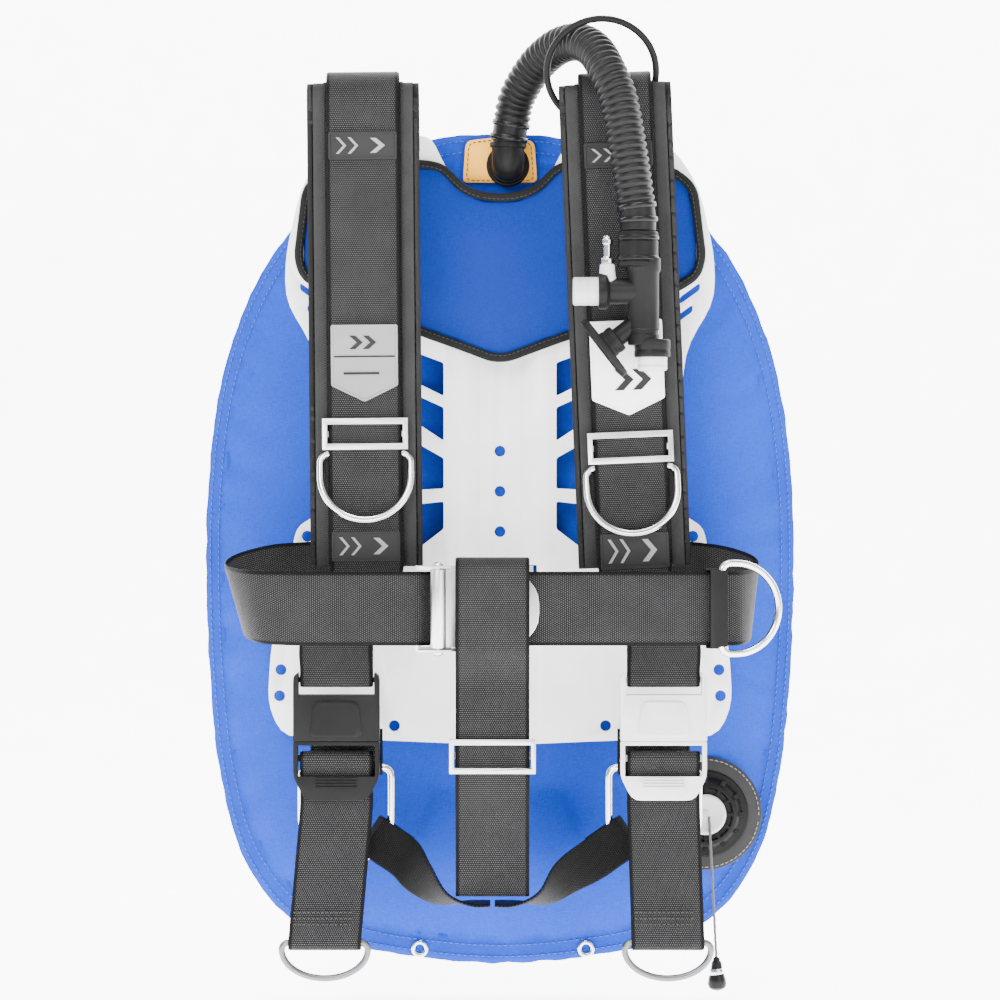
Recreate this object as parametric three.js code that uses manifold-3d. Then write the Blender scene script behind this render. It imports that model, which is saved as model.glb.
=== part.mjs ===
// A backplate-and-wing diving vest: plate, back pad, air cell, two-shoulder webbing harness, inflator and
// tank bands.
// Millimetres. +X is to the right of someone facing the harness, +Z is up, and the tank is on the +Y side.
// The origin is the middle of the tank pad's back face, where the cylinder bears.
import * as THREE from "three";
import { mergeVertices } from "three/addons/utils/BufferGeometryUtils.js";
import Module from "manifold-3d";

const wasm = await Module();
wasm.setup();

// ---------------------------------------------------------------- driving dimensions

const gap = 0.3; // between pieces that touch
const webWidth = 49; // harness webbing
const webThick = 2.2;
const wire = 2.4; // radius of the harness rings' rod

const wing = {
  width: 410, height: 578, top: 206, panel: 1.2, crown: 17, seamY: -8, flange: 0.935, stripHalf: 44,
  ramp: 50,
};
const tankPad = { width: 60, height: 120, thick: 3 };
const plate = {
  width: 320, top: 203, bottom: -219, thick: 3, channelFloor: 28, channelWidth: 52, channelDepth: 13,
};
const plateWingSlope = Math.tan(THREE.MathUtils.degToRad(5));
const backPad = { top: 184, bottom: 46, halfWidth: 142, thick: 8 };

const shoulder = {
  runY: -100, foldRadius: 17, top: 223, padThick: 8, padWidth: 68, padBottom: -94, padBehind: 7, slotZ: 190,
};
const straps = { left: { x: -90, lean: -0.5, hipX: -110 }, right: { x: 91, lean: -2.4, hipX: 110 } };
const leanPivotZ = -90; // the straps lean about this height

const belt = { z: -121, backZ: -101, frontY: -138.2, slotX: 112, leftReach: -178, rightReach: 170 };
const crotch = { x: -5, bottom: -317, sliderZ: -219, clearance: 4.5 };
const pinX = crotch.x - webWidth / 2 - 11.5; // the waist buckle's pin stands clear of the crotch loop
const buckle = {
  pinX, left: pinX - 15, right: pinX + 63, leverTip: pinX + 67, height: webWidth + 8, sheet: 1.5, pinY: -148,
};
const beltRing = { x: 146, y: -133, turn: 16, tall: webWidth + 11 };
const foldTop = belt.z + buckle.height / 2 + crotch.clearance; // top of the crotch strap's loop over the buckle

const clip = {
  width: webWidth + 9, thick: 14, mouthZ: -211, femaleTall: 46, maleTall: 40, armLong: 27, eye: 41,
    bar: -11.8,
  wall: 2.4,
};
const keeperRadius = webWidth / 2 + 12.5;
const tail = { bottom: -348 };
const tailDrift = { left: -8, right: 3 }; // how far each loose tail hangs sideways
const hipRing = { x: 104, z: -230, drop: 64 };
const legWidth = 28.4; // the crotch strap's legs are narrow where they pass round the hip rings

const hoseRadius = 13;
const inflator = {
  x: 95.5, y: -126, radius: 10.5, top: 130, bottom: 46, branchZ: 90, nippleX: 71.5, button: 9.5,
};
const port = { x: 5.5, z: 184, radius: 15, forward: -30 };
const dump = { x: 142, z: -266, flange: 30, cap: 25, disc: 14, hole: 12 };
const tankBand = {
  width: 50, thick: 2.4, halfLoop: 94, depth: 90, heights: { upper: 128, lower: -121 }, slotX: 20,
};

// ---------------------------------------------------------------- materials

const finish = (color, roughness, metalness = 0) =>
  new THREE.MeshStandardMaterial({ color, roughness, metalness });
const blueCordura = finish(0x1f4fc4, 0.8);
const whitePaint = finish(0xf2f2f2, 0.4, 0.2);
const blackWebbing = finish(0x2c2c2d, 0.85);
const blackMesh = finish(0x303030, 0.95);
const steel = finish(0xc9cbcc, 0.25, 1);
const darkSteel = finish(0x6d6e70, 0.35, 1);
const blackPlastic = finish(0x1b1b1c, 0.4);
const greyPlastic = finish(0xd6d6d4, 0.4);
const rubber = finish(0x3a3a3b, 0.7);
const clearFilm = finish(0xbfc6cf, 0.5);

// ---------------------------------------------------------------- solids

const V = (x, y, z) => new THREE.Vector3(x, y, z);

function toSolid(geometry) {
  const bare = geometry.index ? geometry.toNonIndexed() : geometry.clone();
  const only = new THREE.BufferGeometry().setAttribute("position", bare.getAttribute("position"));
  const merged = mergeVertices(only, 1e-3);
  const vertProperties = merged.attributes.position.array;
  const triVerts = new Uint32Array(merged.index.array);
  return new wasm.Manifold(new wasm.Mesh({ numProp: 3, vertProperties, triVerts }));
}

function toGeometry(solid) {
  const mesh = solid.getMesh();
  return new THREE.BufferGeometry()
    .setAttribute("position", new THREE.BufferAttribute(Float32Array.from(mesh.vertProperties), 3))
    .setIndex(new THREE.BufferAttribute(Uint32Array.from(mesh.triVerts), 1));
}

const join = (...parts) => toGeometry(parts.map(toSolid).reduce((all, next) => all.add(next)));
const cut = (body, ...tools) =>
  toGeometry(tools.map(toSolid).reduce((left, tool) => left.subtract(tool), toSolid(body)));
const common = (a, b) => toGeometry(toSolid(a).intersect(toSolid(b)));

// A box from its lowest to its highest corner.
function block(x0, x1, y0, y1, z0, z1) {
  return new THREE.BoxGeometry(x1 - x0, y1 - y0, z1 - z0)
    .translate((x0 + x1) / 2, (y0 + y1) / 2, (z0 + z1) / 2);
}

// A cylinder between two points; its end radius may differ.
function rod(from, to, radius, sides = 16, endRadius = radius) {
  const along = to.clone().sub(from);
  const turn = new THREE.Quaternion().setFromUnitVectors(V(0, 1, 0), along.clone().normalize());
  const middle = from.clone().add(to).multiplyScalar(0.5);
  return new THREE.CylinderGeometry(endRadius, radius, along.length(), sides)
    .applyQuaternion(turn).translate(middle.x, middle.y, middle.z);
}

// A closed body through rings of points; a closed loft joins its last ring to its first.
function loft(rings, closed = false) {
  const sides = rings[0].length;
  const points = rings.flat();
  const faces = [];
  const spans = closed ? rings.length : rings.length - 1;
  for (let i = 0; i < spans; i++) {
    const here = i * sides;
    const next = ((i + 1) % rings.length) * sides;
    for (let k = 0; k < sides; k++) {
      const k1 = (k + 1) % sides;
      faces.push(here + k, next + k, next + k1, here + k, next + k1, here + k1);
    }
  }
  if (!closed) {
    const last = (rings.length - 1) * sides;
    for (let k = 1; k < sides - 1; k++) faces.push(0, k, k + 1, last, last + k + 1, last + k);
  }
  return outward(points, faces);
}

// Turns the faces round if the body they close is inside out.
function outward(points, faces) {
  let volume = 0;
  for (let i = 0; i < faces.length; i += 3) {
    const [a, b, c] = [points[faces[i]], points[faces[i + 1]], points[faces[i + 2]]];
    volume += a.dot(b.clone().cross(c));
  }
  const turned = volume < 0 ? faces.slice().reverse() : faces;
  const position = new THREE.Float32BufferAttribute(points.flatMap((p) => [p.x, p.y, p.z]), 3);
  return new THREE.BufferGeometry().setAttribute("position", position).setIndex(turned);
}

// Webbing along a curve. Each stop is [x, y, z] with the direction that the width runs in, as wx, wy, wz.
function ribbon(stops, steps, width = webWidth, thick = webThick, across = [1, 0, 0], closed = false) {
  const path = new THREE.CatmullRomCurve3(stops.map((s) => V(s[0], s[1], s[2])), closed, "centripetal");
  const sides = stops.map((s) => (s.length > 3 ? V(s[3], s[4], s[5]) : V(...across)));
  const widths = new THREE.CatmullRomCurve3(sides, closed);
  const rings = [];
  for (let i = 0; i < steps + (closed ? 0 : 1); i++) {
    const t = i / steps;
    const centre = path.getPoint(t);
    const tangent = path.getTangent(t);
    const side = widths.getPoint(t).normalize();
    const normal = tangent.cross(side).normalize();
    const w = side.multiplyScalar(width / 2);
    const n = normal.multiplyScalar(thick / 2);
    rings.push([[1, 1], [1, -1], [-1, -1], [-1, 1]].map(([a, b]) =>
      centre.clone().addScaledVector(w, a).addScaledVector(n, b)));
  }
  return loft(rings, closed);
}

// A rod bent along a closed flat path that lies in the XZ plane.
function bentRod(path, radius, sides = 6) {
  const rings = path.map((p, i) => {
    const before = path[(i + path.length - 1) % path.length];
    const after = path[(i + 1) % path.length];
    const along = after.clone().sub(before).normalize();
    const out = V(along.y, 0, -along.x);
    return Array.from({ length: sides }, (_, k) => {
      const angle = ((k + 0.5) / sides) * 2 * Math.PI;
      return V(p.x, radius * Math.sin(angle), p.y).addScaledVector(out, radius * Math.cos(angle));
    });
  });
  return loft(rings, true);
}

// A D ring's centre line: a straight bar at height 0 and a round bow below it.
function dPath(width, height, corner = 5) {
  const half = width / 2;
  const bow = Math.min(half, height - corner);
  const arc = (x, z, rx, rz, from, to, steps) =>
    new THREE.EllipseCurve(x, z, rx, rz, from, to, true).getPoints(steps);
  return [
    ...arc(half - corner, -corner, corner, corner, Math.PI / 2, 0, 3),
    ...arc(0, -height + bow, half, bow, 0, -Math.PI, 14),
    ...arc(-half + corner, -corner, corner, corner, Math.PI, Math.PI / 2, 3),
  ].filter((p, i, all) => p.distanceTo(all.at(i - 1)) > 0.05);
}

// Stops of a webbing loop round a bar at y, z: from one angle to another, measured from -Y towards -Z, in
// degrees.
function around(x, y, z, radius, from, to, count = 5) {
  return Array.from({ length: count }, (_, i) => {
    const angle = THREE.MathUtils.degToRad(from + ((to - from) * i) / (count - 1));
    return [x, y - radius * Math.cos(angle), z - radius * Math.sin(angle)];
  });
}

// A flat outline in the XZ plane from its corners, each [x, z] with an optional rounding radius.
function outline(given, usual = 4) {
  const clockwise = THREE.ShapeUtils.isClockWise(given.map(([x, z]) => new THREE.Vector2(x, z)));
  const corners = clockwise ? given.slice().reverse() : given;
  const shape = new THREE.Shape();
  corners.forEach(([x, z, radius = usual], i) => {
    const here = new THREE.Vector2(x, z);
    const [before, after] = [corners.at(i - 1), corners[(i + 1) % corners.length]];
    const toBefore = new THREE.Vector2(before[0], before[1]).sub(here);
    const toAfter = new THREE.Vector2(after[0], after[1]).sub(here);
    const reach = Math.min(radius, toBefore.length() * 0.45, toAfter.length() * 0.45);
    const start = here.clone().addScaledVector(toBefore.normalize(), reach);
    const end = here.clone().addScaledVector(toAfter.normalize(), reach);
    if (i === 0) shape.moveTo(start.x, start.y);
    else shape.lineTo(start.x, start.y);
    shape.quadraticCurveTo(x, z, end.x, end.y);
  });
  return shape;
}

// An XZ outline made thick in Y, from its front (low y) to its back.
function slab(shape, front, back, curveSegments = 3) {
  return new THREE.ExtrudeGeometry(shape, { depth: back - front, bevelEnabled: false, curveSegments })
    .rotateX(Math.PI / 2).translate(0, back, 0);
}

// A whole outline from its right half, which runs from top to bottom; points on the middle line are kept
// once.
const mirrored = (half) => [...half,
  ...half.filter(([x]) => x > 0).map(([x, z, r]) => [-x, z, r]).reverse()];
const disc = (x, z, radius) => new THREE.Shape(Array.from({ length: 16 }, (_, i) => {
  const angle = (i / 16) * 2 * Math.PI;
  return new THREE.Vector2(x + radius * Math.cos(angle), z + radius * Math.sin(angle));
}));

// ---------------------------------------------------------------- the model tree

const vest = new THREE.Group();

function add(name, geometry, material, parent = vest) {
  const mesh = new THREE.Mesh(geometry, material);
  mesh.name = name;
  parent.add(mesh);
  return mesh;
}

// A group whose X axis lies across one shoulder strap. The strap leans about its middle at the pivot height.
function strapGroup(side) {
  const group = new THREE.Group();
  group.position.set(straps[side].x, 0, leanPivotZ);
  group.rotation.y = THREE.MathUtils.degToRad(straps[side].lean);
  group.updateMatrixWorld();
  vest.add(group);
  return group;
}

const fromPivot = (z) => z - leanPivotZ;

// The same stop in the vest's own frame, with the direction of the strap's width.
function onStrap(group, [x, y, z]) {
  const p = V(x, y, fromPivot(z)).applyMatrix4(group.matrixWorld);
  const w = V(1, 0, 0).transformDirection(group.matrixWorld);
  return [p.x, p.y, p.z, w.x, w.y, w.z];
}

// ---------------------------------------------------------------- layers from the tank forward

const padBack = 0;
const padFront = padBack - tankPad.thick;
const cellBack = padFront - gap; // back face of the air cell's middle
const cellFront = 2 * wing.seamY - cellBack;
const plateFloorBack = cellFront - gap;
const plateFloorFront = plateFloorBack - plate.thick;
const plateShelf = plateFloorFront - plate.channelDepth; // front face beside the channel
const plateFrontAt = (x) => plateShelf - Math.max(0, Math.abs(x) - plate.channelWidth / 2) * plateWingSlope;

// ---------------------------------------------------------------- air cell

// The cell's half outline as [share of half width, share of height down from the top].
const cellHalf = [
  [0, 0], [0.2, 0.004], [0.42, 0.034], [0.6, 0.078], [0.75, 0.133], [0.87, 0.21], [0.95, 0.3], [0.993, 0.42],
  [1, 0.53], [0.988, 0.65], [0.95, 0.775], [0.87, 0.875], [0.72, 0.945], [0.5, 0.978], [0.25, 0.994], [0, 1],
];

// One point of the outline. turn runs from 0 at the top, clockwise, to 1.
const cellCurve = new THREE.CatmullRomCurve3(
  [...cellHalf, ...cellHalf.slice(1, -1).map(([w, h]) => [-w, h]).reverse()]
    .map(([w, h]) => V(w * wing.width / 2, 0, wing.top - h * wing.height)),
  true, "centripetal",
);
const cellMiddle = V(0, 0, wing.top - wing.height / 2);

function cellPoint(turn, share, y) {
  const edge = cellCurve.getPointAt(turn % 1);
  return cellMiddle.clone().lerp(edge, share).setY(y);
}

// How far the cloth stands off the seam plane at a point that lies a share of the way from the middle to
// the edge.
function standOff(share, point) {
  const fromEdge = THREE.MathUtils.clamp((wing.flange - share) / 0.3, 0, 1);
  const fromStrip = Math.hypot(Math.max(0, Math.abs(point.x) - wing.stripHalf),
    Math.max(0, plate.bottom - 30 - point.z));
  const rise = THREE.MathUtils.smoothstep(fromStrip, 0, wing.ramp);
  const flatPart = Math.abs(cellBack - wing.seamY) - wing.panel - gap / 2;
  return Math.sin((fromEdge * Math.PI) / 2) ** 0.7 * (flatPart + (wing.crown - flatPart) * rise);
}

function cellPanel(facing, turns = 48) {
  const strip = wing.stripHalf / (wing.width / 2);
  const shares = [1, wing.flange, 0.88, 0.8, 0.69, 0.57, 0.45, 0.32, strip, 0.12];
  const layer = (extra) => shares.map((share) => Array.from({ length: turns }, (_, i) => {
    const point = cellPoint(i / turns, share, 0);
    return point.setY(wing.seamY + facing * (gap / 2 + standOff(share, point) + extra));
  }));
  const [inner, outer] = [layer(0).flat(), layer(wing.panel).flat()];
  const points = [...inner, ...outer];
  const rows = shares.length;
  const at = (side, row, i) => side * rows * turns + row * turns + (i % turns);
  const faces = [];
  for (let row = 0; row < rows - 1; row++) {
    for (let i = 0; i < turns; i++) {
      const [a, b, c, d] = [[row, i], [row + 1, i], [row + 1, i + 1], [row, i + 1]];
      faces.push(at(0, ...a), at(0, ...b), at(0, ...c), at(0, ...a), at(0, ...c), at(0, ...d));
      faces.push(at(1, ...a), at(1, ...c), at(1, ...b), at(1, ...a), at(1, ...d), at(1, ...c));
    }
  }
  points.push(cellMiddle.clone().setY(inner.at(-1).y), cellMiddle.clone().setY(outer.at(-1).y));
  const [innerMiddle, outerMiddle] = [points.length - 2, points.length - 1];
  for (let i = 0; i < turns; i++) {
    faces.push(at(0, rows - 1, i), innerMiddle, at(0, rows - 1, i + 1));
    faces.push(at(1, rows - 1, i), at(1, rows - 1, i + 1), outerMiddle);
    faces.push(at(0, 0, i), at(0, 0, i + 1), at(1, 0, i + 1), at(0, 0, i), at(1, 0, i + 1), at(1, 0, i));
  }
  return outward(points, faces);
}

// The inner bag: a ring that is narrow where it passes the port, behind the plate's top.
function bladder(turns = 40) {
  const clear = 1.2;
  const pastBolt = (cellMiddle.z - boltPlaces[1] + 12) / (wing.height / 2);
  const ring = (turn) => {
    const fromTop = Math.min(turn, 1 - turn);
    const usual = Math.max(0.5, pastBolt);
    const inner = THREE.MathUtils.lerp(0.86, usual, THREE.MathUtils.smoothstep(fromTop, 0.04, 0.1));
    const shares = [1, 0.8, 0.55, 0.3, 0].map((f) => THREE.MathUtils.lerp(inner, 0.9, f));
    const side = (facing) => shares.map((share) => {
      const point = cellPoint(turn, share, 0);
      return point.setY(wing.seamY + facing * Math.max(0.5, 0.8 * standOff(share, point) - clear));
    });
    return [...side(1), ...side(-1).reverse()];
  };
  return loft(Array.from({ length: turns }, (_, i) => ring(i / turns)), true);
}

const throughY = (x, z, radius, sides = 20) => rod(V(x, -60, z), V(x, 40, z), radius, sides);
const bandSlots = Object.values(tankBand.heights).flatMap((z) => [-1, 1].map((side) =>
  block(side * tankBand.slotX - 5.5, side * tankBand.slotX + 5.5, -60, 30, z - tankBand.width / 2 - 2,
    z + tankBand.width / 2 + 2)));
const boltPlaces = [75, -195]; // heights of the two bolts that clamp the cell to the plate
const boltHoles = boltPlaces.map((z) => throughY(0, z, 3.4, 12));
const grommet = { z: wing.top - wing.height + 10, xs: { left: -56, right: 60 }, hole: 3, flange: 6 };
const grommetHoles = Object.values(grommet.xs).map((x) =>
  throughY(x, grommet.z, grommet.hole + 1.4 + gap, 14));

add("wing_front_panel", cut(cellPanel(-1), throughY(port.x, port.z, port.radius - 3 + gap), ...bandSlots,
  throughY(dump.x, dump.z, dump.hole + gap), ...boltHoles, ...grommetHoles), blueCordura);
add("wing_back_panel", cut(cellPanel(1), ...bandSlots, ...boltHoles, ...grommetHoles), blueCordura);
add("wing_bladder", cut(bladder(),
  rod(V(port.x, -40, port.z), V(port.x, wing.seamY + 1, port.z), port.radius - 3 + gap, 16),
  rod(V(dump.x, -40, dump.z), V(dump.x, wing.seamY, dump.z), dump.hole + gap, 16)), clearFilm);

for (const [side, x] of Object.entries(grommet.xs)) {
  const reach = gap / 2 + wing.panel + gap; // the eyelet's barrel stands this far off the seam plane
  const barrel = join(rod(V(x, wing.seamY - reach, grommet.z), V(x, wing.seamY + reach, grommet.z),
    grommet.hole + 1.4, 14),
    rod(V(x, wing.seamY - reach - 1.2, grommet.z), V(x, wing.seamY - reach, grommet.z), grommet.flange, 14),
    rod(V(x, wing.seamY + reach, grommet.z), V(x, wing.seamY + reach + 1.2, grommet.z), grommet.flange, 14));
  add(`wing_grommet_${side}`, cut(barrel, throughY(x, grommet.z, grommet.hole, 14)), steel);
}

add("tank_pad", cut(block(-tankPad.width / 2, tankPad.width / 2, padFront, padBack, -tankPad.height / 2,
  tankPad.height / 2),
  ...boltHoles), rubber);

boltPlaces.forEach((z, i) => {
  const head = rod(V(0, plateFloorFront - gap - 3, z), V(0, plateFloorFront - gap, z), 7, 12);
  const shank = rod(V(0, plateFloorFront - gap, z), V(0, cellBack + gap, z), 3, 12);
  const nut = rod(V(0, cellBack + gap, z), V(0, cellBack + gap + 2.4, z), 7, 12);
  add(i ? "wing_bolt_lower" : "wing_bolt_upper", join(head, shank, nut), darkSteel);
});

// ---------------------------------------------------------------- backplate and its pad

// The bent sheet's section across X, seen from above, as thick as asked and following the plate's front
// face.
function sheetSection(halfWidth, back, front, flatMiddle) {
  const bend = plate.channelWidth / 2;
  const floor = plate.channelFloor / 2;
  const drop = (x) => -Math.max(0, x - bend) * plateWingSlope;
  const half = flatMiddle ? [[bend, 0], [halfWidth, drop(halfWidth)]]
    : [[floor, plate.channelDepth], [bend, 0], [halfWidth, drop(halfWidth)]];
  const line = [...half.map(([x, y]) => [-x, y]).reverse(), ...half];
  return new THREE.Shape([
    ...line.map(([x, y]) => new THREE.Vector2(x, y + front)),
    ...line.map(([x, y]) => new THREE.Vector2(x, y + back)).reverse(),
  ]);
}

function bentSheet(shape, halfWidth, front, thick, flatMiddle, curveSegments) {
  const tall = { depth: 700, bevelEnabled: false };
  const bent = new THREE.ExtrudeGeometry(sheetSection(halfWidth + 20, front + thick, front, flatMiddle),
    tall).translate(0, 0, -400);
  return common(bent, slab(shape, -120, 20, curveSegments));
}

const plateHalf = [
  [0, 150, 10], [24, 157, 14], [40, 186, 14], [48, plate.top, 8], [112, plate.top, 20], [137, 170, 20],
  [148, 118, 16], [148, 88, 14],
  [128, 56, 16], [122, -20, 20], [127, -60, 10], [140, -67, 10], [158, -150, 30], [160, -190, 22],
  [150, -212, 18], [60, -216, 40],
  [0, plate.bottom, 40],
].map(([x, z, r]) => [x * plate.width / 320, z, r]);
const plateShape = outline(mirrored(plateHalf));
const holeAt = (x, z, radius = 3.9) => plateShape.holes.push(disc(x, z, radius));
[-15, -43, -71].forEach((z) => holeAt(0, z));
for (const s of [-1, 1]) {
  [[151, -166], [152, -184], [73, -205], [88, -204],
  [133, -74]].forEach(([x, z]) => holeAt(s * x * plate.width / 320, z));
  // Four windows between the spine and each side rail, and three slanted slots on each shoulder.
  [
    [[39, 46], [39, 23], [96, 51], [96, 67]],
    [[39, 15], [39, -8], [96, 30], [96, 41]],
    [[39, -20], [39, -41], [96, -44], [96, 12]],
    [[39, -50], [39, -69], [60, -85], [92, -85], [94, -56]],
  ].forEach((corners) => plateShape.holes.push(outline(corners.map(([x, z]) => [s * x, z]), 1.5)));
  [[130, 94], [125, 79]].forEach(([x, z]) => plateShape.holes.push(outline([
    [s * (x + 8), z + 7], [s * (x + 8), z + 2], [s * (x - 6), z - 8], [s * (x - 6), z - 3],
  ], 2)));
}
const slotCut = (x, z, wide, tall) => block(x - wide / 2, x + wide / 2, -80, 20, z - tall / 2, z + tall / 2);
const shoulderSlots = ["left", "right"].map((side) =>
  slotCut(shoulderSlotX(side), shoulder.slotZ, webWidth + 6, 15));
const beltSlots = [-1, 1].map((s) => slotCut(s * belt.slotX, belt.backZ, 16, webWidth + 5));
function shoulderSlotX(side) {
  return straps[side].x + Math.sin(THREE.MathUtils.degToRad(straps[side].lean)) * fromPivot(shoulder.slotZ);
}
add("backplate", cut(bentSheet(plateShape, plate.width / 2, plateShelf, plate.thick, false),
  ...bandSlots, ...boltHoles, ...shoulderSlots, ...beltSlots), whitePaint);

const padHalf = [
  [0, 162, 16], [22, 166, 16], [38, 183, 10], [52, backPad.top + 2, 8], [118, backPad.top - 2, 12],
  [136, 168, 14],
  [backPad.halfWidth, 118, 10], [138, 104, 8], [126, 96, 8], [60, 66, 10], [26, 54, 20],
  [0, backPad.bottom - 2, 30],
];
add("back_pad", bentSheet(outline(mirrored(padHalf)), backPad.halfWidth, plateShelf - gap - backPad.thick,
  backPad.thick, true, 2),
  blueCordura);

// ---------------------------------------------------------------- shoulder straps

// Stops of the strap's fold over the shoulder, this far inside the webbing's middle.
function shoulderFold(offset, degrees) {
  const { runY, foldRadius, top } = shoulder;
  return around(0, runY + foldRadius, top, foldRadius - offset, 0, -degrees, 1 + degrees / 30);
}

function shoulderWebbing(group, side) {
  const { runY, top, slotZ } = shoulder;
  const slotFront = plateFrontAt(shoulderSlotX(side));
  const { hipX } = straps[side];
  const eye = clipEyeZ();
  const held = [
    [hipX, runY + 4.6, eye + 24], [hipX, runY + 3.6, eye + 8], ...around(hipX, runY, eye, 3.9, 180, 0, 7),
    [hipX, runY - 3.4, eye + 7],
    [hipX, runY - 2, eye + 26],
  ];
  const run = [
    [0, runY, -98], [0, runY, -70], [0, runY, 80], [0, runY, top - 14], ...shoulderFold(0, 150),
    [0, slotFront - 16, slotZ + 19], [0, slotFront - 6, slotZ + 6], [0, slotFront + 1.5, slotZ],
    [0, slotFront + 8, slotZ - 7],
  ];
  return ribbon([...held.map((stop) => [...stop, 1, 0, 0]), ...run.map((stop) => onStrap(group, stop))], 52);
}

function shoulderPad() {
  const offset = shoulder.padBehind + shoulder.padThick / 2;
  const runY = shoulder.runY + offset;
  const stops = [[0, runY, shoulder.padBottom], [0, runY, 0], [0, runY, shoulder.top - 14],
    ...shoulderFold(offset, 60)];
  return ribbon(stops.map(([x, y, z]) => [x, y, fromPivot(z)]), 14, shoulder.padWidth, shoulder.padThick);
}

// The height of the bar that a strap ends on, in the top of the clip's female half.
function clipEyeZ() {
  return clip.mouthZ + clip.eye;
}

const sliderHeight = 21;
const sliderZ = { left: -7, right: -16 };
const ringTilt = 15; // how far each chest ring stands off its strap at rest
const railX = webWidth / 2 + 1 + 1.6;

// A three-bar slide: the webbing runs behind the outer bars and over the middle one.
function slide(height, width, layers = 1) {
  const front = -(webThick * layers) / 2 - gap - 2.4;
  const back = (webThick * layers) / 2 + gap + 2.2;
  const bar = (z, y0, y1) => block(-width, width, y0, y1, z - 2, z + 2);
  return join(bar(height / 2 - 2, front, front + 2.4), bar(-height / 2 + 2, front, front + 2.4),
    bar(0, back - 2.2, back),
    block(-width - 1.6, -width + 1.6, front, back, -height / 2, height / 2),
    block(width - 1.6, width + 1.6, front, back, -height / 2, height / 2));
}

function shield(wide, tall) {
  return outline([[-wide / 2, tall / 2, 1], [wide / 2, tall / 2, 1], [wide / 2, -tall / 2 + 11, 1],
    [0, -tall / 2, 1],
    [-wide / 2, -tall / 2 + 11, 1]]);
}

for (const side of ["left", "right"]) {
  const strap = strapGroup(side);
  add(`shoulder_webbing_${side}`, shoulderWebbing(strap, side), blackWebbing);
  add(`shoulder_pad_${side}`, shoulderPad(), blackMesh, strap);

  add(`chest_slider_${side}`, slide(sliderHeight, railX), steel, strap)
    .position.set(0, shoulder.runY, fromPivot(sliderZ[side] + 2.5));
  const ring = add(`chest_d_ring_${side}`, bentRod(dPath(webWidth + 7 + 2 * wire, 46, 6), wire), steel,
    strap);
  ring.position.set(0, shoulder.runY + webThick / 2 + gap + wire + 0.2, fromPivot(sliderZ[side] - 10.8));
  ring.rotation.x = THREE.MathUtils.degToRad(-ringTilt);

  const badge = { left: { z: 43, wide: 45, tall: 52 }, right: { z: 40, wide: 49, tall: 64 } }[side];
  const badgeBack = shoulder.runY - webThick / 2 - gap;
  add(`badge_${side}`, slab(shield(badge.wide, badge.tall), badgeBack - 1.4, badgeBack),
    side === "left" ? rubber : whitePaint, strap)
    .position.z = fromPivot(badge.z);
}

// ---------------------------------------------------------------- hip clips, lower straps and their rings

// The clip's halves, with the female half's mouth at height 0.
function clipFemale() {
  const [w, d] = [clip.width / 2, clip.thick / 2];
  const body = slab(outline([[-w, 0, 1], [w, 0, 1], [w, clip.femaleTall, 5], [-w, clip.femaleTall, 5]]),
    -d, d);
  const cavity = block(-w + clip.wall, w - clip.wall, -d + clip.wall, d - clip.wall, -1, clip.armLong + 4);
  const windows = [-1, 1].map((s) =>
    block(s * (w - 3) - 8, s * (w - 3) + 8, -d + clip.wall, d - clip.wall, 12, 24));
  const slotHalf = webWidth / 2 + 1;
  const slot = block(-slotHalf, slotHalf, -d - 1, d + 1, clip.eye - 10, clip.eye - 1.8);
  const top = block(-slotHalf, slotHalf, -d - 1, d + 1, clip.eye + 1.8, clip.femaleTall + 9);
  const thin = [-1, 1].map((s) => block(-slotHalf, slotHalf, s * 5 - 3.4, s * 5 + 3.4, clip.eye - 9,
    clip.eye + 9));
  return cut(body, cavity, ...windows, slot, top, ...thin);
}

function clipMale() {
  const [w, d] = [clip.width / 2, clip.thick / 2 - 2];
  const arm = (s) => slab(outline([[s * (w - 5), -2, 1], [s * (w - 5), clip.armLong - 6, 3],
    [s * (w - 8), clip.armLong, 2],
    [s * (w - 12), clip.armLong, 2], [s * (w - 12), -2, 1]]), -d + 1.4, d - 1.4);
  const guide = block(-3, 3, -d + 1.4, d - 1.4, -2, clip.armLong - 8);
  const base = slab(outline([[-w, -gap, 1], [w, -gap, 1], [w, -24, 4], [w - 8, -clip.maleTall, 6],
    [-w + 8, -clip.maleTall, 6],
    [-w, -24, 4]]), -d, d);
  const across = (y0, y1, z0, z1) => block(-webWidth / 2 - 1.5, webWidth / 2 + 1.5, y0, y1, z0, z1);
  const { bar } = clip;
  const slots = [across(-20, 20, bar + 2.2, -3), across(-20, 20, bar - 12, bar - 2.2)];
  const thin = [-1, 1].map((s) => across(s * 5 - 3.4, s * 5 + 3.4, bar - 11, -3));
  const behind = across(-2.4, d + 1, -clip.maleTall - 1, bar - 11);
  return cut(join(arm(-1), arm(1), guide, base), ...slots, ...thin, behind);
}

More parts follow.
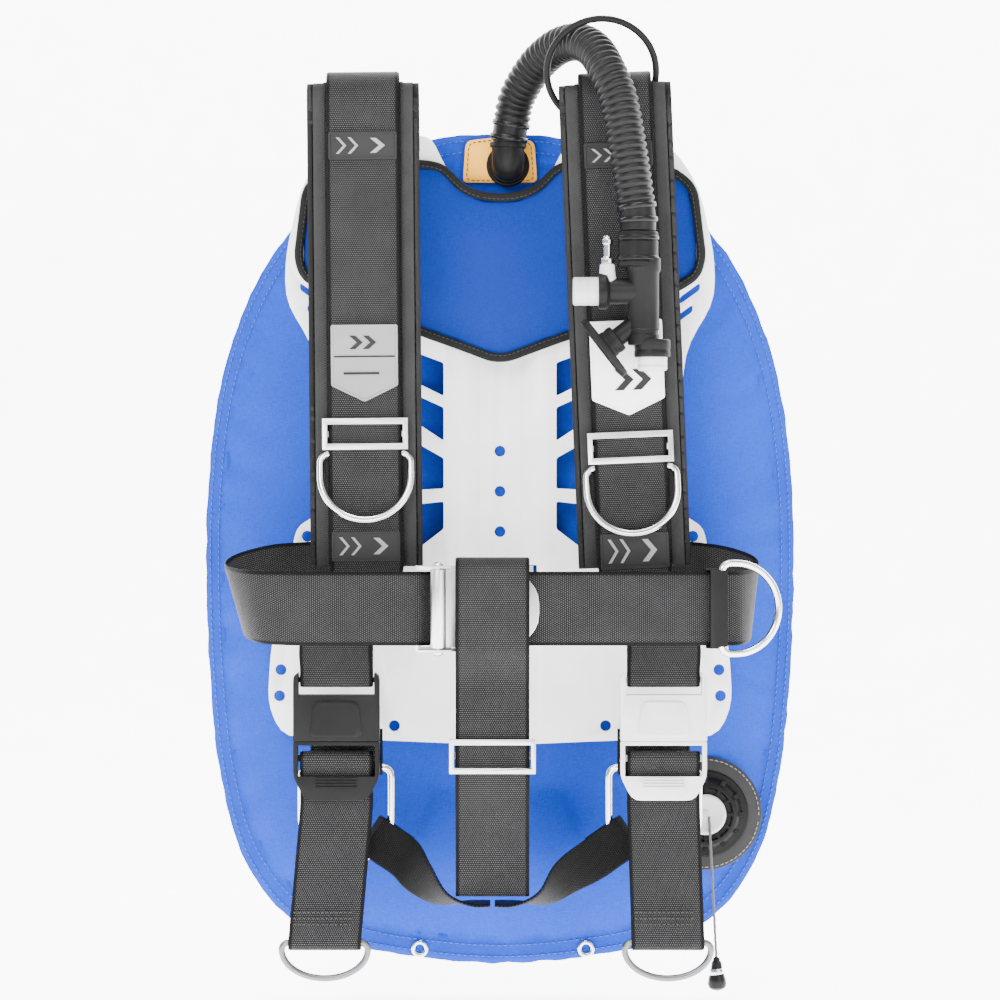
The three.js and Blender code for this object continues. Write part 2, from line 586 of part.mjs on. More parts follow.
// The lower strap: from the hip ring up the back, over the clip's bar, and down the front as a loose tail.
function lowerStrap(side) {
  const { hipX } = straps[side];
  const y = shoulder.runY;
  const m = clip.mouthZ;
  const foot = m - clip.maleTall - 3;
  const ringX = Math.sign(hipX) * hipRing.x;
  const drift = (z) => hipX + (tailDrift[side] * (foot - z)) / (foot - tail.bottom);
  const bar = m + clip.bar;
  return ribbon([
    [ringX, y + 17.5, hipRing.z + 26], [ringX, y + 17.3, hipRing.z + 6],
    ...around(ringX, y + 13.1, hipRing.z, 4.1, 180, 0, 7),
    [ringX, y + 9, hipRing.z + 5],
    [hipX, y + 5.4, bar - 14], ...around(hipX, y, bar, 3.9, 180, 375, 8), [hipX, y + 0.2, bar - 13],
    [hipX, y + 0.4, bar - 22],
    [drift(foot), y - 0.4, foot], [drift(-300), y - 2.5, -300],
    [drift(tail.bottom + 14), y - 3.8, tail.bottom + 14],
    ...around(drift(tail.bottom), y + 0.4, tail.bottom + 1, 4.1, 0, 180, 7),
    [drift(tail.bottom + 14), y + 3.2, tail.bottom + 22],
  ], 64);
}

for (const side of ["left", "right"]) {
  const x = straps[side].hipX;
  const upper = new THREE.Group();
  upper.position.set(x, shoulder.runY, clip.mouthZ);
  vest.add(upper);
  add(`buckle_female_${side}`, clipFemale(), side === "left" ? blackPlastic : greyPlastic, upper);
  add(`buckle_male_${side}`, clipMale(), side === "left" ? blackPlastic : greyPlastic, upper);
  add(`lower_strap_${side}`, lowerStrap(side), blackWebbing);
  add(`tail_ring_${side}`, bentRod(dPath(webWidth + 9, 24, 4.5), 2.2), darkSteel)
    .position.set(x + tailDrift[side], shoulder.runY + 0.4, tail.bottom + 1);
  add(`hip_d_ring_${side}`, bentRod(dPath(webWidth + 7 + 2 * wire, hipRing.drop, 6), wire), steel)
    .position.set(Math.sign(x) * hipRing.x, shoulder.runY + 13.1, hipRing.z);
}

// ---------------------------------------------------------------- waist belt, buckle and ring

const frontY = belt.frontY;
const ringTurn = THREE.MathUtils.degToRad(beltRing.turn);
add("waist_belt_left", ribbon([
  [-belt.slotX + 14, plateFrontAt(belt.slotX) + 8, belt.backZ],
  [-belt.slotX, plateFrontAt(belt.slotX) + 1, belt.backZ],
  [-128, -50, belt.backZ - 1], [-154, -62, -104, -0.1, 0, 1], [belt.leftReach + 4, -80, -110, -0.28, 0, 1],
  [belt.leftReach, -102, -116, -0.28, 0, 1], [belt.leftReach + 14, -126, -120, -0.15, 0, 1],
  [-138, -135, belt.z, -0.02, 0, 1],
  [-100, frontY + 1, belt.z], [pinX - 25, frontY + 1, belt.z], [pinX - 16, frontY - 0.4, belt.z],
  [pinX - 12, frontY - 0.3, belt.z], [pinX - 7.5, frontY + 2.6, belt.z], [pinX - 3, frontY + 5.6, belt.z],
  [pinX + 7, frontY + 6.4, belt.z],
], 40, webWidth, webThick, [0, 0, 1]), blackWebbing);
add("waist_belt_right", ribbon([
  [belt.slotX - 14, plateFrontAt(belt.slotX) + 8, belt.backZ],
  [belt.slotX, plateFrontAt(belt.slotX) + 1, belt.backZ],
  [130, -50, belt.backZ - 1], [152, -64, -105, 0.06, 0, 1], [belt.rightReach - 3, -84, -111, 0.2, 0, 1],
  [belt.rightReach, -108, -118, 0.1, 0, 1],
  ...[14, 0, -14].map((along) => [beltRing.x + along * Math.cos(ringTurn),
    beltRing.y + along * Math.sin(ringTurn), belt.z]), [112, frontY, belt.z],
  [80, frontY, belt.z], [20, frontY, belt.z], [-20, frontY, belt.z], [pinX + 3, frontY, belt.z],
], 34, webWidth, webThick, [0, 0, 1]), blackWebbing);

const sheetFront = frontY + webThick / 2 + gap;
const sheetBack = sheetFront + buckle.sheet;
const ear = (s) => {
  const z = belt.z + s * (buckle.height / 2 - buckle.sheet / 2);
  return block(buckle.left + 2, buckle.pinX + 9, buckle.pinY - 4, sheetFront + 0.5, z - buckle.sheet / 2,
    z + buckle.sheet / 2);
};
const pinEnds = buckle.height / 2 + 2;
const slotHalf = webWidth / 2 + 1;
add("waist_buckle_frame", cut(
  join(block(buckle.left, buckle.right, sheetFront, sheetBack, belt.z - buckle.height / 2,
    belt.z + buckle.height / 2), ear(-1), ear(1),
    rod(V(buckle.pinX, buckle.pinY, belt.z - pinEnds), V(buckle.pinX, buckle.pinY, belt.z + pinEnds), 2,
      12)),
  block(buckle.left + 3.5, buckle.left + 13, sheetFront - 1, sheetBack + 1, belt.z - slotHalf,
    belt.z + slotHalf),
  block(pinX + 35, pinX + 53, sheetFront - 1, sheetBack + 1, belt.z - slotHalf, belt.z + slotHalf),
), steel);

// The lever: a knuckle round the pin and a plate with a rounded tip, which lies over the tongue of the belt.
const leverHalf = buckle.height / 2 - buckle.sheet - 1;
const leverBack = frontY - webThick / 2 - gap - 0.6;
const leverFace = outline([[buckle.pinX, leverHalf, 1], [buckle.leverTip - 14, leverHalf, 6],
  [buckle.leverTip, leverHalf - 14, 12],
  [buckle.leverTip, -leverHalf + 14, 12], [buckle.leverTip - 14, -leverHalf, 6],
  [buckle.pinX, -leverHalf, 1]]);
add("waist_buckle_lever", cut(join(
  slab(leverFace, leverBack - 1.6, leverBack).translate(0, 0, belt.z),
  rod(V(buckle.pinX, buckle.pinY, belt.z - leverHalf), V(buckle.pinX, buckle.pinY, belt.z + leverHalf), 5,
    16),
  block(buckle.pinX, buckle.pinX + 5, buckle.pinY, leverBack, belt.z - leverHalf, belt.z + leverHalf),
), rod(V(buckle.pinX, buckle.pinY, belt.z - 40), V(buckle.pinX, buckle.pinY, belt.z + 40), 2.3, 12)), steel);

// The belt's ring stands in a keeper on the belt, with its bar upright and its bow outward.
const ringSpot = new THREE.Group();
ringSpot.position.set(beltRing.x, beltRing.y, belt.z);
ringSpot.rotation.z = ringTurn;
vest.add(ringSpot);
const barY = -webThick / 2 - gap - wire;
const keeperTall = webWidth / 2 + 0.8;
const keeperFront = barY - wire - gap;
add("waist_ring_keeper", join(
  block(-9, 3, keeperFront - 1.2, keeperFront, -keeperTall, keeperTall),
  block(-9, -3.4, webThick / 2 + 0.6, webThick / 2 + 1.8, -keeperTall, keeperTall),
  ...[-1, 1].map((s) => block(-9, -3.4, keeperFront - 1.2, webThick / 2 + 1.8,
    s * (keeperTall + 0.6) - 0.6, s * (keeperTall + 0.6) + 0.6)),
), blackPlastic, ringSpot);
const beltD = add("waist_d_ring", bentRod(dPath(beltRing.tall, 40, 6), wire), steel, ringSpot);
beltD.position.set(0, barY, 0);
beltD.rotation.y = -Math.PI / 2;

// ---------------------------------------------------------------- crotch strap

const loopFront = leverBack - 1.6 - 8.4;
const loopBack = sheetBack + 6.6;
const merge = { z: belt.z - buckle.height / 2 - crotch.clearance - 1, y: loopBack - 9 };
const layerStep = webThick + gap;
add("crotch_strap", ribbon([
  [crotch.x, -124, crotch.bottom + 4], [crotch.x, -128, -268], [crotch.x, merge.y, crotch.sliderZ - 16],
  [crotch.x, merge.y, crotch.sliderZ],
  [crotch.x, merge.y, crotch.sliderZ + 16], [crotch.x, merge.y - 0.5, merge.z - 12],
  [crotch.x, loopFront + 2, merge.z + 4],
  [crotch.x, loopFront, merge.z + 14], [crotch.x, loopFront, foldTop - 16],
  [crotch.x, loopFront + 1.4, foldTop - 3.5],
  [crotch.x, (loopFront + loopBack) / 2, foldTop], [crotch.x, loopBack - 1.4, foldTop - 3.5],
  [crotch.x, loopBack, foldTop - 16],
  [crotch.x, loopBack, merge.z + 12], [crotch.x, merge.y + 4.5, merge.z - 2],
  [crotch.x, merge.y + layerStep, merge.z - 14],
  [crotch.x, merge.y + layerStep, crotch.sliderZ + 16], [crotch.x, merge.y + layerStep, crotch.sliderZ],
  [crotch.x, merge.y + layerStep, crotch.sliderZ - 16],
  [crotch.x, -128 + layerStep, -268], [crotch.x, -124 + layerStep, crotch.bottom + 4],
], 56), blackWebbing);
add("crotch_slider", slide(23, railX, 2.5), steel).position.set(crotch.x, merge.y + layerStep / 2,
  crotch.sliderZ);

// Each leg loops round the inner side of its hip ring and runs down, turning edge-on, to the foot of the
// crotch strap.
for (const s of [-1, 1]) {
  const ringY = shoulder.runY + 13.1;
  const bow = webWidth / 2 + 3.5 + wire;
  const middle = V(s * hipRing.x, ringY, hipRing.z - hipRing.drop + bow);
  const inward = V(-s * Math.cos(0.6), 0, -Math.sin(0.6));
  const onLeg = (along, y, wx, wy, wz) => {
    const p = middle.clone().addScaledVector(inward, along);
    return [p.x, ringY + y, p.z, wx, s * wy, s * wz];
  };
  const flat = [Math.sin(0.6), 0, -Math.cos(0.6)];
  const foot = -119;
  add(`crotch_leg_${s < 0 ? "left" : "right"}`, ribbon([
    onLeg(bow + 16, 3.4, ...flat), onLeg(bow + 6, 4.4, ...flat), onLeg(bow - 8, 4.4, ...flat),
    onLeg(bow - 11.5, 0, ...flat),
    onLeg(bow - 8, -4.4, ...flat), onLeg(bow + 6, -4.4, ...flat), onLeg(bow + 18, -6, ...flat),
    [crotch.x + s * (webWidth / 2 + 24.5), -104, -303, 0.5, s * 0.5, s * -0.7],
    [crotch.x + s * (webWidth / 2 + 9.5), -111, -316, 0.25, s * 0.9, s * -0.35],
    [crotch.x + s * 14, foot, crotch.bottom - 1.6, 0.05, s * 1, 0],
    [crotch.x + s * 1.5, foot, crotch.bottom - 1.6, 0, s * 1, 0],
  ], 26, legWidth), blackWebbing);
}

// ---------------------------------------------------------------- hose and inflator

const { x: tubeX, y: tubeY, branchZ } = inflator;
const cuffX = tubeX - 3.5;
add("hose_elbow", join(
  rod(V(port.x, wing.seamY, port.z), V(port.x, cellFront - gap, port.z), port.radius - 3.3),
  rod(V(port.x, cellFront - gap - 3, port.z), V(port.x, cellFront - gap, port.z), port.radius),
  rod(V(port.x, port.forward, port.z), V(port.x, cellFront - gap - 2, port.z), 11.5),
  new THREE.IcosahedronGeometry(11.6, 2).translate(port.x, port.forward, port.z),
  rod(V(port.x, port.forward, port.z), V(port.x, port.forward, port.z + 11.6), 11.5),
), blackPlastic);

const hoseLine = new THREE.CatmullRomCurve3([
  [port.x, port.forward, port.z + 14.4], [7.6, -31, 210], [11, -34, 227], [18, -40, 240.5],
  [27, -48, 252], [40, -62, 261],
  [53, -78, 262], [64, -96, 254], [72, -112, 238], [79, -119, 220], [83, -122.5, 200],
  [86.5, -124.5, 178], [89.5, -125.6, 157],
  [cuffX, tubeY, 138], [cuffX, tubeY, inflator.top + 0.4],
].map(([x, y, z]) => V(x, y, z)));
const round = new THREE.Shape(new THREE.Path().absarc(0, 0, hoseRadius, 0, 2 * Math.PI).getPoints(5));
add("corrugated_hose", new THREE.ExtrudeGeometry(round,
  { steps: 40, extrudePath: hoseLine, curveSegments: 5 }), rubber);

const buttonSeat = 65.5; // x of the inflate button's flange
const spout = V(-0.79, 0, -0.61); // which way the mouthpiece points
const spoutAt = (along) => V(tubeX, tubeY, 72.5).addScaledVector(spout, along);
const chamberX = tubeX + 6;
add("inflator_body", cut(join(
  rod(V(cuffX, tubeY, 106), V(cuffX, tubeY, inflator.top), 13.4, 20),
  rod(V(tubeX, tubeY, 54), V(tubeX, tubeY, 112), inflator.radius, 20),
  rod(V(buttonSeat + 3, tubeY, branchZ), V(tubeX, tubeY, branchZ), 8.5),
  rod(V(buttonSeat, tubeY, branchZ), V(buttonSeat + 6, tubeY, branchZ), 12, 20),
  rod(V(inflator.nippleX, tubeY, branchZ), V(inflator.nippleX, tubeY, branchZ + 18), 5.8, 16, 5),
  rod(spoutAt(0), spoutAt(27), 6.4),
  rod(V(chamberX, tubeY, inflator.bottom), V(chamberX, tubeY, 58), 12.2, 20),
),
  rod(V(buttonSeat - 1, tubeY, branchZ), V(buttonSeat + 4.5, tubeY, branchZ), inflator.button + 0.5, 20),
  rod(V(chamberX, tubeY, inflator.bottom - 1), V(chamberX, tubeY, inflator.bottom + 6),
    inflator.button + 1, 20),
), blackPlastic);
add("inflator_nipple", join(
  rod(V(inflator.nippleX, tubeY, branchZ + 18.3), V(inflator.nippleX, tubeY, 127), 2.8, 12),
  rod(V(inflator.nippleX, tubeY, branchZ + 18.3), V(inflator.nippleX, tubeY, branchZ + 22), 4.6, 12),
  rod(V(inflator.nippleX, tubeY, 121.5), V(inflator.nippleX, tubeY, 124.5), 3.7, 12),
), steel);
const mouth = new THREE.CylinderGeometry(1, 1, 5, 24).scale(13, 1, 23).rotateZ(Math.PI / 2)
  .applyQuaternion(new THREE.Quaternion().setFromUnitVectors(V(1, 0, 0), spout));
add("inflator_mouthpiece", cut(
  join(rod(spoutAt(21.5), spoutAt(33), 9.4), mouth.translate(...spoutAt(33).toArray())),
  rod(spoutAt(20), spoutAt(40), 6.8),
), rubber);
add("inflate_button", rod(V(buttonSeat - 17, tubeY, branchZ), V(buttonSeat + 0.8, tubeY, branchZ),
  inflator.button, 20), greyPlastic);
add("exhaust_button", rod(V(chamberX, tubeY, inflator.bottom - 9),
  V(chamberX, tubeY, inflator.bottom + 1.5), inflator.button + 0.4, 20),
  greyPlastic);

const keeperRing = new THREE.TorusGeometry(keeperRadius, 2.3, 6, 28);
const keeper = add("hose_keeper_ring", keeperRing, blackPlastic);
keeper.position.set(68.7, shoulder.runY + shoulder.foldRadius - 1, 241);
keeper.rotation.x = THREE.MathUtils.degToRad(112);

// ---------------------------------------------------------------- dump valve and its pull cord

// Just in front of the cell's fullest part.
const cellOuter = wing.seamY - gap / 2 - wing.crown - wing.panel - gap;
const capFront = cellOuter - 2.6 - 8;
add("dump_valve_body", cut(join(
  rod(V(dump.x, -13, dump.z), V(dump.x, cellOuter, dump.z), dump.hole, 20),
  rod(V(dump.x, cellOuter - 2.6, dump.z), V(dump.x, cellOuter, dump.z), dump.flange, 28),
  rod(V(dump.x, capFront, dump.z), V(dump.x, cellOuter - 2.6, dump.z), dump.cap - 3, 28, dump.cap),
), rod(V(dump.x, capFront - 1, dump.z), V(dump.x, capFront + 6, dump.z), 3.6, 12)), blackPlastic);
add("dump_valve_disc", join(
  rod(V(dump.x, capFront - 3.2, dump.z), V(dump.x, capFront - gap, dump.z), dump.disc, 24),
  rod(V(dump.x, capFront - 1, dump.z), V(dump.x, capFront + 5, dump.z), 3, 12),
), greyPlastic);
const cordY = capFront - 3.2 - gap - 1;
const cordLine = new THREE.CatmullRomCurve3([
  V(dump.x + 2, cordY, dump.z - 1), V(dump.x + 2.6, cordY - 0.5, dump.z - 12),
    V(dump.x + 4.5, cordY - 0.5, dump.z - 50),
  V(dump.x + 7, cordY, dump.z - 98),
]);
const thin = new THREE.Shape(new THREE.Path().absarc(0, 0, 1, 0, 2 * Math.PI).getPoints(3));
add("dump_cord", new THREE.ExtrudeGeometry(thin, { steps: 16, extrudePath: cordLine, curveSegments: 3 }),
  blackWebbing);
const toggleProfile = [[0, 0], [2.2, 0], [2.6, -3], [4, -9], [6, -15], [6.6, -18.5], [5.6, -21.5],
  [3, -23], [0, -23.4]];
add("dump_toggle", new THREE.LatheGeometry(toggleProfile.map(([r, z]) =>
  new THREE.Vector2(r, z)).reverse(), 14)
  .rotateX(Math.PI / 2).translate(dump.x + 7, cordY, dump.z - 98.4), blackPlastic);

// ---------------------------------------------------------------- tank bands

function bandLoop(z) {
  const crossing = plateFloorFront - 2.6;
  const { slotX, halfLoop, depth } = tankBand;
  const half = [
    [slotX - 12, crossing], [slotX - 6, crossing + 0.2], [slotX - 1, crossing + 3],
    [slotX + 1, crossing + 9],
    [slotX + 3, cellBack + 3], [38, 13], [62, 20],
    [halfLoop - 5, 40], [halfLoop, 58], [halfLoop - 16, 79], [44, depth - 1],
  ];
  return [[0, crossing], ...half, [0, depth],
    ...half.map(([x, y]) => [-x, y]).reverse()].map(([x, y]) => [x, y, z]);
}

for (const [place, z] of Object.entries(tankBand.heights)) {
  const half = tankBand.width / 2;
  add(`tank_band_${place}`, ribbon(bandLoop(z), 60, tankBand.width, tankBand.thick, [0, 0, 1], true),
    blackWebbing);
  const y = tankBand.depth + tankBand.thick / 2 + gap;
  add(`cam_buckle_${place}`, join(
    block(-32, 30, y, y + 2, z - half - 3, z + half + 3),
    block(-30, -12, y, y + 11, z - half - 3, z - half - 1),
    block(-30, -12, y, y + 11, z + half + 1, z + half + 3),
    rod(V(-21, y + 7, z - half - 2), V(-21, y + 7, z + half + 2), 2, 12),
  ), steel);
  add(`cam_lever_${place}`, cut(join(
    rod(V(-21, y + 7, z - half), V(-21, y + 7, z + half), 4.6, 16),
    block(-21, 33, y + 5.4, y + 8.4, z - half, z + half),
  ), rod(V(-21, y + 7, z - half - 5), V(-21, y + 7, z + half + 5), 2.3, 12)), blackPlastic);
}

export default vest;
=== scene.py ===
import math

import bmesh
import bpy
from mathutils import Matrix, Vector, kdtree, noise


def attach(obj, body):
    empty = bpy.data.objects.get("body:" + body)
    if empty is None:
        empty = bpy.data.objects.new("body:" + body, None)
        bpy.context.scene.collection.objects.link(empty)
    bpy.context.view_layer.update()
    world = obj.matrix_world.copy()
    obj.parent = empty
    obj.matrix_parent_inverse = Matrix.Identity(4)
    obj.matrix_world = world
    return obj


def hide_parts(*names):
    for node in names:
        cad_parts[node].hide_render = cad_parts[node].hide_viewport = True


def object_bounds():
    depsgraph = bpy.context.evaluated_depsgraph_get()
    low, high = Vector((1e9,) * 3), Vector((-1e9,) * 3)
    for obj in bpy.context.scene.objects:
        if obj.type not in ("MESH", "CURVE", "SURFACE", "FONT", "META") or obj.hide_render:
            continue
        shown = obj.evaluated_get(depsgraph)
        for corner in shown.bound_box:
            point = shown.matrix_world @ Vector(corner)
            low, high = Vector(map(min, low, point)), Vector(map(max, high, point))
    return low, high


# Metres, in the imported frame: X to the right, Z up, the harness in front (-Y) and the tank behind (+Y).
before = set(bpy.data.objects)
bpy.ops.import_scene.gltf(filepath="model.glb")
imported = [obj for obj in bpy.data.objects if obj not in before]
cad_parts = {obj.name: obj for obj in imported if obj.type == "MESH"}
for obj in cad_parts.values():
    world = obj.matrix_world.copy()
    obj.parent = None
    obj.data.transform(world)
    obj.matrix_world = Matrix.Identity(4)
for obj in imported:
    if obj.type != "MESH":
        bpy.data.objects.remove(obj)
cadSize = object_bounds()
print("frame loaded")

# Camera.

view = {"lens": 133.7, "sensor": 36, "place": (0, -2.6, -0.049)}
cameraData = bpy.data.cameras.new("camera")
cameraData.lens = view["lens"]
cameraData.sensor_width = view["sensor"]
cameraData.clip_end = 30
camera = bpy.data.objects.new("camera", cameraData)
camera.location = view["place"]
camera.rotation_euler = (math.pi / 2, 0, 0)
bpy.context.collection.objects.link(camera)
bpy.context.scene.camera = camera


# Small helpers for points and meshes.

def spline(stops, count, closed=False):
    # Evenly spaced points on a smooth curve through the stops; a stop may carry more values than its place.
    def reflect(p, q):
        return [2 * a - b for a, b in zip(p, q)]
    ends = [stops[-1], *stops, stops[0], stops[1]] if closed else [
        reflect(stops[0], stops[1]), *stops, reflect(stops[-1], stops[-2])]
    fine = []
    for p0, p1, p2, p3 in zip(ends, ends[1:], ends[2:], ends[3:]):
        d0, d1, d2 = [max(math.dist(a[:3], b[:3]) ** 0.5, 1e-6) for a, b in ((p0, p1), (p1, p2), (p2, p3))]
        for step in range(10):
            t = step / 10
            point = []
            for a, b, c, d in zip(p0, p1, p2, p3):
                m1 = ((b - a) / d0 - (c - a) / (d0 + d1) + (c - b) / d1) * d1
                m2 = ((c - b) / d1 - (d - b) / (d1 + d2) + (d - c) / d2) * d1
                point.append(b + m1 * t + (-3 * b + 3 * c - 2 * m1 - m2) * t * t + (2 * b - 2 * c + m1 + m2)
                             * t ** 3)
            fine.append(point)
    fine.append(list(stops[0] if closed else stops[-1]))
    lengths = [0.0]
    for p, q in zip(fine, fine[1:]):
        lengths.append(lengths[-1] + math.dist(p[:3], q[:3]))
    points, k = [], 0
    for i in range(count):
        goal = lengths[-1] * i / (count if closed else count - 1)
        while k < len(fine) - 2 and lengths[k + 1] < goal:
            k += 1
        t = min(1, max(0, (goal - lengths[k]) / ((lengths[k + 1] - lengths[k]) or 1)))
        points.append([p + (q - p) * t for p, q in zip(fine[k], fine[k + 1])])
    return points


def pathLength(points):
    return sum(math.dist(p[:3], q[:3]) for p, q in zip(points, points[1:]))


def makeMesh(name, points, faces, finish, smooth=True, lay=None):
    mesh = bpy.data.meshes.new(name)
    mesh.from_pydata([tuple(p) for p in points], [], faces)
    mesh.validate()
    if lay:  # where each point lies on the flat cloth: across it, and along it
        flat = mesh.attributes.new("lay", "FLOAT_VECTOR", "POINT")
        flat.data.foreach_set("vector", [n for p in lay for n in (p[0], p[1], 0)])
    edit = bmesh.new()
    edit.from_mesh(mesh)
    bmesh.ops.recalc_face_normals(edit, faces=edit.faces)
    edit.to_mesh(mesh)
    edit.free()
    for face in mesh.polygons:
        face.use_smooth = smooth
    mesh.materials.append(finish.material)
    thing = bpy.data.objects.new(name, mesh)
    bpy.context.collection.objects.link(thing)
    return thing


def applyModifiers(thing):
    bpy.context.view_layer.update()
    seen = thing.evaluated_get(bpy.context.evaluated_depsgraph_get())
    mesh = bpy.data.meshes.new_from_object(seen)
    thing.modifiers.clear()
    thing.data = mesh
    return thing


def place(thing, body, *nodes, slot=None):
    # The piece rides on a body and stands for these nodes.
    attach(thing, body)
    if nodes:
        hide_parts(*nodes)
    return thing


def skin(rings, closedAlong=False, capped=True):
    # Faces between rings of the same length; each ring is closed.
    sides = len(rings[0])
    points = [p for ring in rings for p in ring]
    faces = []
    for i in range(len(rings) if closedAlong else len(rings) - 1):
        a, b = i * sides, ((i + 1) % len(rings)) * sides
        faces += [(a + k, a + (k + 1) % sides, b + (k + 1) % sides, b + k) for k in range(sides)]
    if capped and not closedAlong:
        last = (len(rings) - 1) * sides
        faces += [tuple(range(sides)), tuple(range(last, last + sides))]
    return points, faces


def tubeRings(path, radius, sides, closed=False):
    # Round sections square to the path, carried along it without twist.
    # The radius is a number or a function of 0..1.
    path = [Vector(p[:3]) for p in path]
    last = len(path) - 1
    normal = None
    rings = []
    for i, p in enumerate(path):
        ahead = path[(i + 1) % len(path)] if closed else path[min(i + 1, last)]
        behind = path[i - 1] if closed else path[max(i - 1, 0)]
        along = (ahead - behind).normalized()
        if normal is None:
            normal = along.orthogonal().normalized()
        normal = (normal - along * normal.dot(along)).normalized()
        side = along.cross(normal)
        r = radius(i / last) if callable(radius) else radius
        rings.append([p
                      + (normal * math.cos(2 * math.pi * k / sides) + side
                         * math.sin(2 * math.pi * k / sides)) * r
                      for k in range(sides)])
    return rings


def bentBar(name, path, radius, finish, sides=16, closed=True):
    points, faces = skin(tubeRings(path, radius, sides, closed), closed)
    return makeMesh(name, points, faces, finish)


def lathe(name, profile, start, axis, finish, sides=48):
    # A turned piece: profile holds (distance along the axis, radius) from its foot to its nose.
    axis = Vector(axis).normalized()
    across = axis.orthogonal().normalized()
    up = axis.cross(across)
    rings = []
    for along, radius in profile:
        middle = Vector(start) + axis * along
        rings.append([middle
                      + (across * math.cos(2 * math.pi * k / sides) + up * math.sin(2 * math.pi * k / sides))
                      * max(radius, 1e-5) for k in range(sides)])
    points, faces = skin(rings)
    thing = makeMesh(name, points, faces, finish)
    return roundEdges(thing, 0.0004, 2, 35)


def blockMesh(edit, low, high, turn=None):
    # Adds a box to a bmesh, from its lowest to its highest corner.
    made = bmesh.ops.create_cube(edit, size=1)["verts"]
    for v in made:
        v.co = Vector([(a + b) / 2 + c * (b - a) for a, b, c in zip(low, high, v.co)])
        if turn:
            v.co = turn @ v.co
    return made


def solidFrom(name, finish, build, bevel=0.0008, segments=3):
    # A moulded or machined piece: build fills a bmesh, and every sharp edge is then rounded.
    edit = bmesh.new()
    build(edit)
    mesh = bpy.data.meshes.new(name)
    bmesh.ops.recalc_face_normals(edit, faces=edit.faces)
    edit.to_mesh(mesh)
    edit.free()
    mesh.materials.append(finish.material)
    thing = bpy.data.objects.new(name, mesh)
    bpy.context.collection.objects.link(thing)
    return roundEdges(thing, bevel, segments)


def roundEdges(thing, width, segments=3, angle=30):
    for face in thing.data.polygons:
        face.use_smooth = True
    edges = thing.modifiers.new("edges", "BEVEL")
    edges.width = width
    edges.segments = segments
    edges.limit_method = "ANGLE"
    edges.angle_limit = math.radians(angle)
    edges.harden_normals = True
    return applyModifiers(thing)


def cadCopy(node, finish, bevel=0.0006, name=None):
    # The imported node's own shape with rounded edges and a new finish.
    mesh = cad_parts[node].data.copy()
    mesh.materials.clear()
    mesh.materials.append(finish.material)
    edit = bmesh.new()
    edit.from_mesh(mesh)
    bmesh.ops.remove_doubles(edit, verts=edit.verts, dist=1e-5)
    bmesh.ops.dissolve_limit(edit, angle_limit=math.radians(1), verts=edit.verts, edges=edit.edges)
    bmesh.ops.recalc_face_normals(edit, faces=edit.faces)
    edit.to_mesh(mesh)
    edit.free()
    thing = bpy.data.objects.new(name or node + "_moulding", mesh)
    bpy.context.collection.objects.link(thing)
    return roundEdges(thing, bevel)


# Finishes.

class Socket:
    # One output of a shader node, with the maths that the finishes use.
    def __init__(self, finish, output):
        self.finish, self.output = finish, output

    def maths(self, operation, *others):
        return self.finish.node("ShaderNodeMath", {"operation": operation}, dict(enumerate([self, *others])))

    def __add__(self, other):
        return self.maths("ADD", other)

    __radd__ = __add__

    def __sub__(self, other):
        return self.maths("SUBTRACT", other)

    def __rsub__(self, other):
        return self.finish.node("ShaderNodeMath", {"operation": "SUBTRACT"}, {0: other, 1: self})

    def __mul__(self, other):
        return self.maths("MULTIPLY", other)

    __rmul__ = __mul__

    def __truediv__(self, other):
        return self.maths("DIVIDE", other)

    def __pow__(self, other):
        return self.maths("POWER", other)

    def __mod__(self, other):
        return self.maths("FLOORED_MODULO", other)

    def __abs__(self):
        return self.maths("ABSOLUTE")

    def sin(self):
        return self.maths("SINE")

    def floor(self):
        return self.maths("FLOOR")

    def above(self, level, soft):
        # 0 below the level and 1 above it, with a soft edge.
        return self.finish.node("ShaderNodeMapRange", {"clamp": True},
                                {"Value": self, "From Min": level - soft, "From Max": level + soft})

    def between(self, low, high):
        # Stretches 0..1 to a new span.
        return self * (high - low) + low


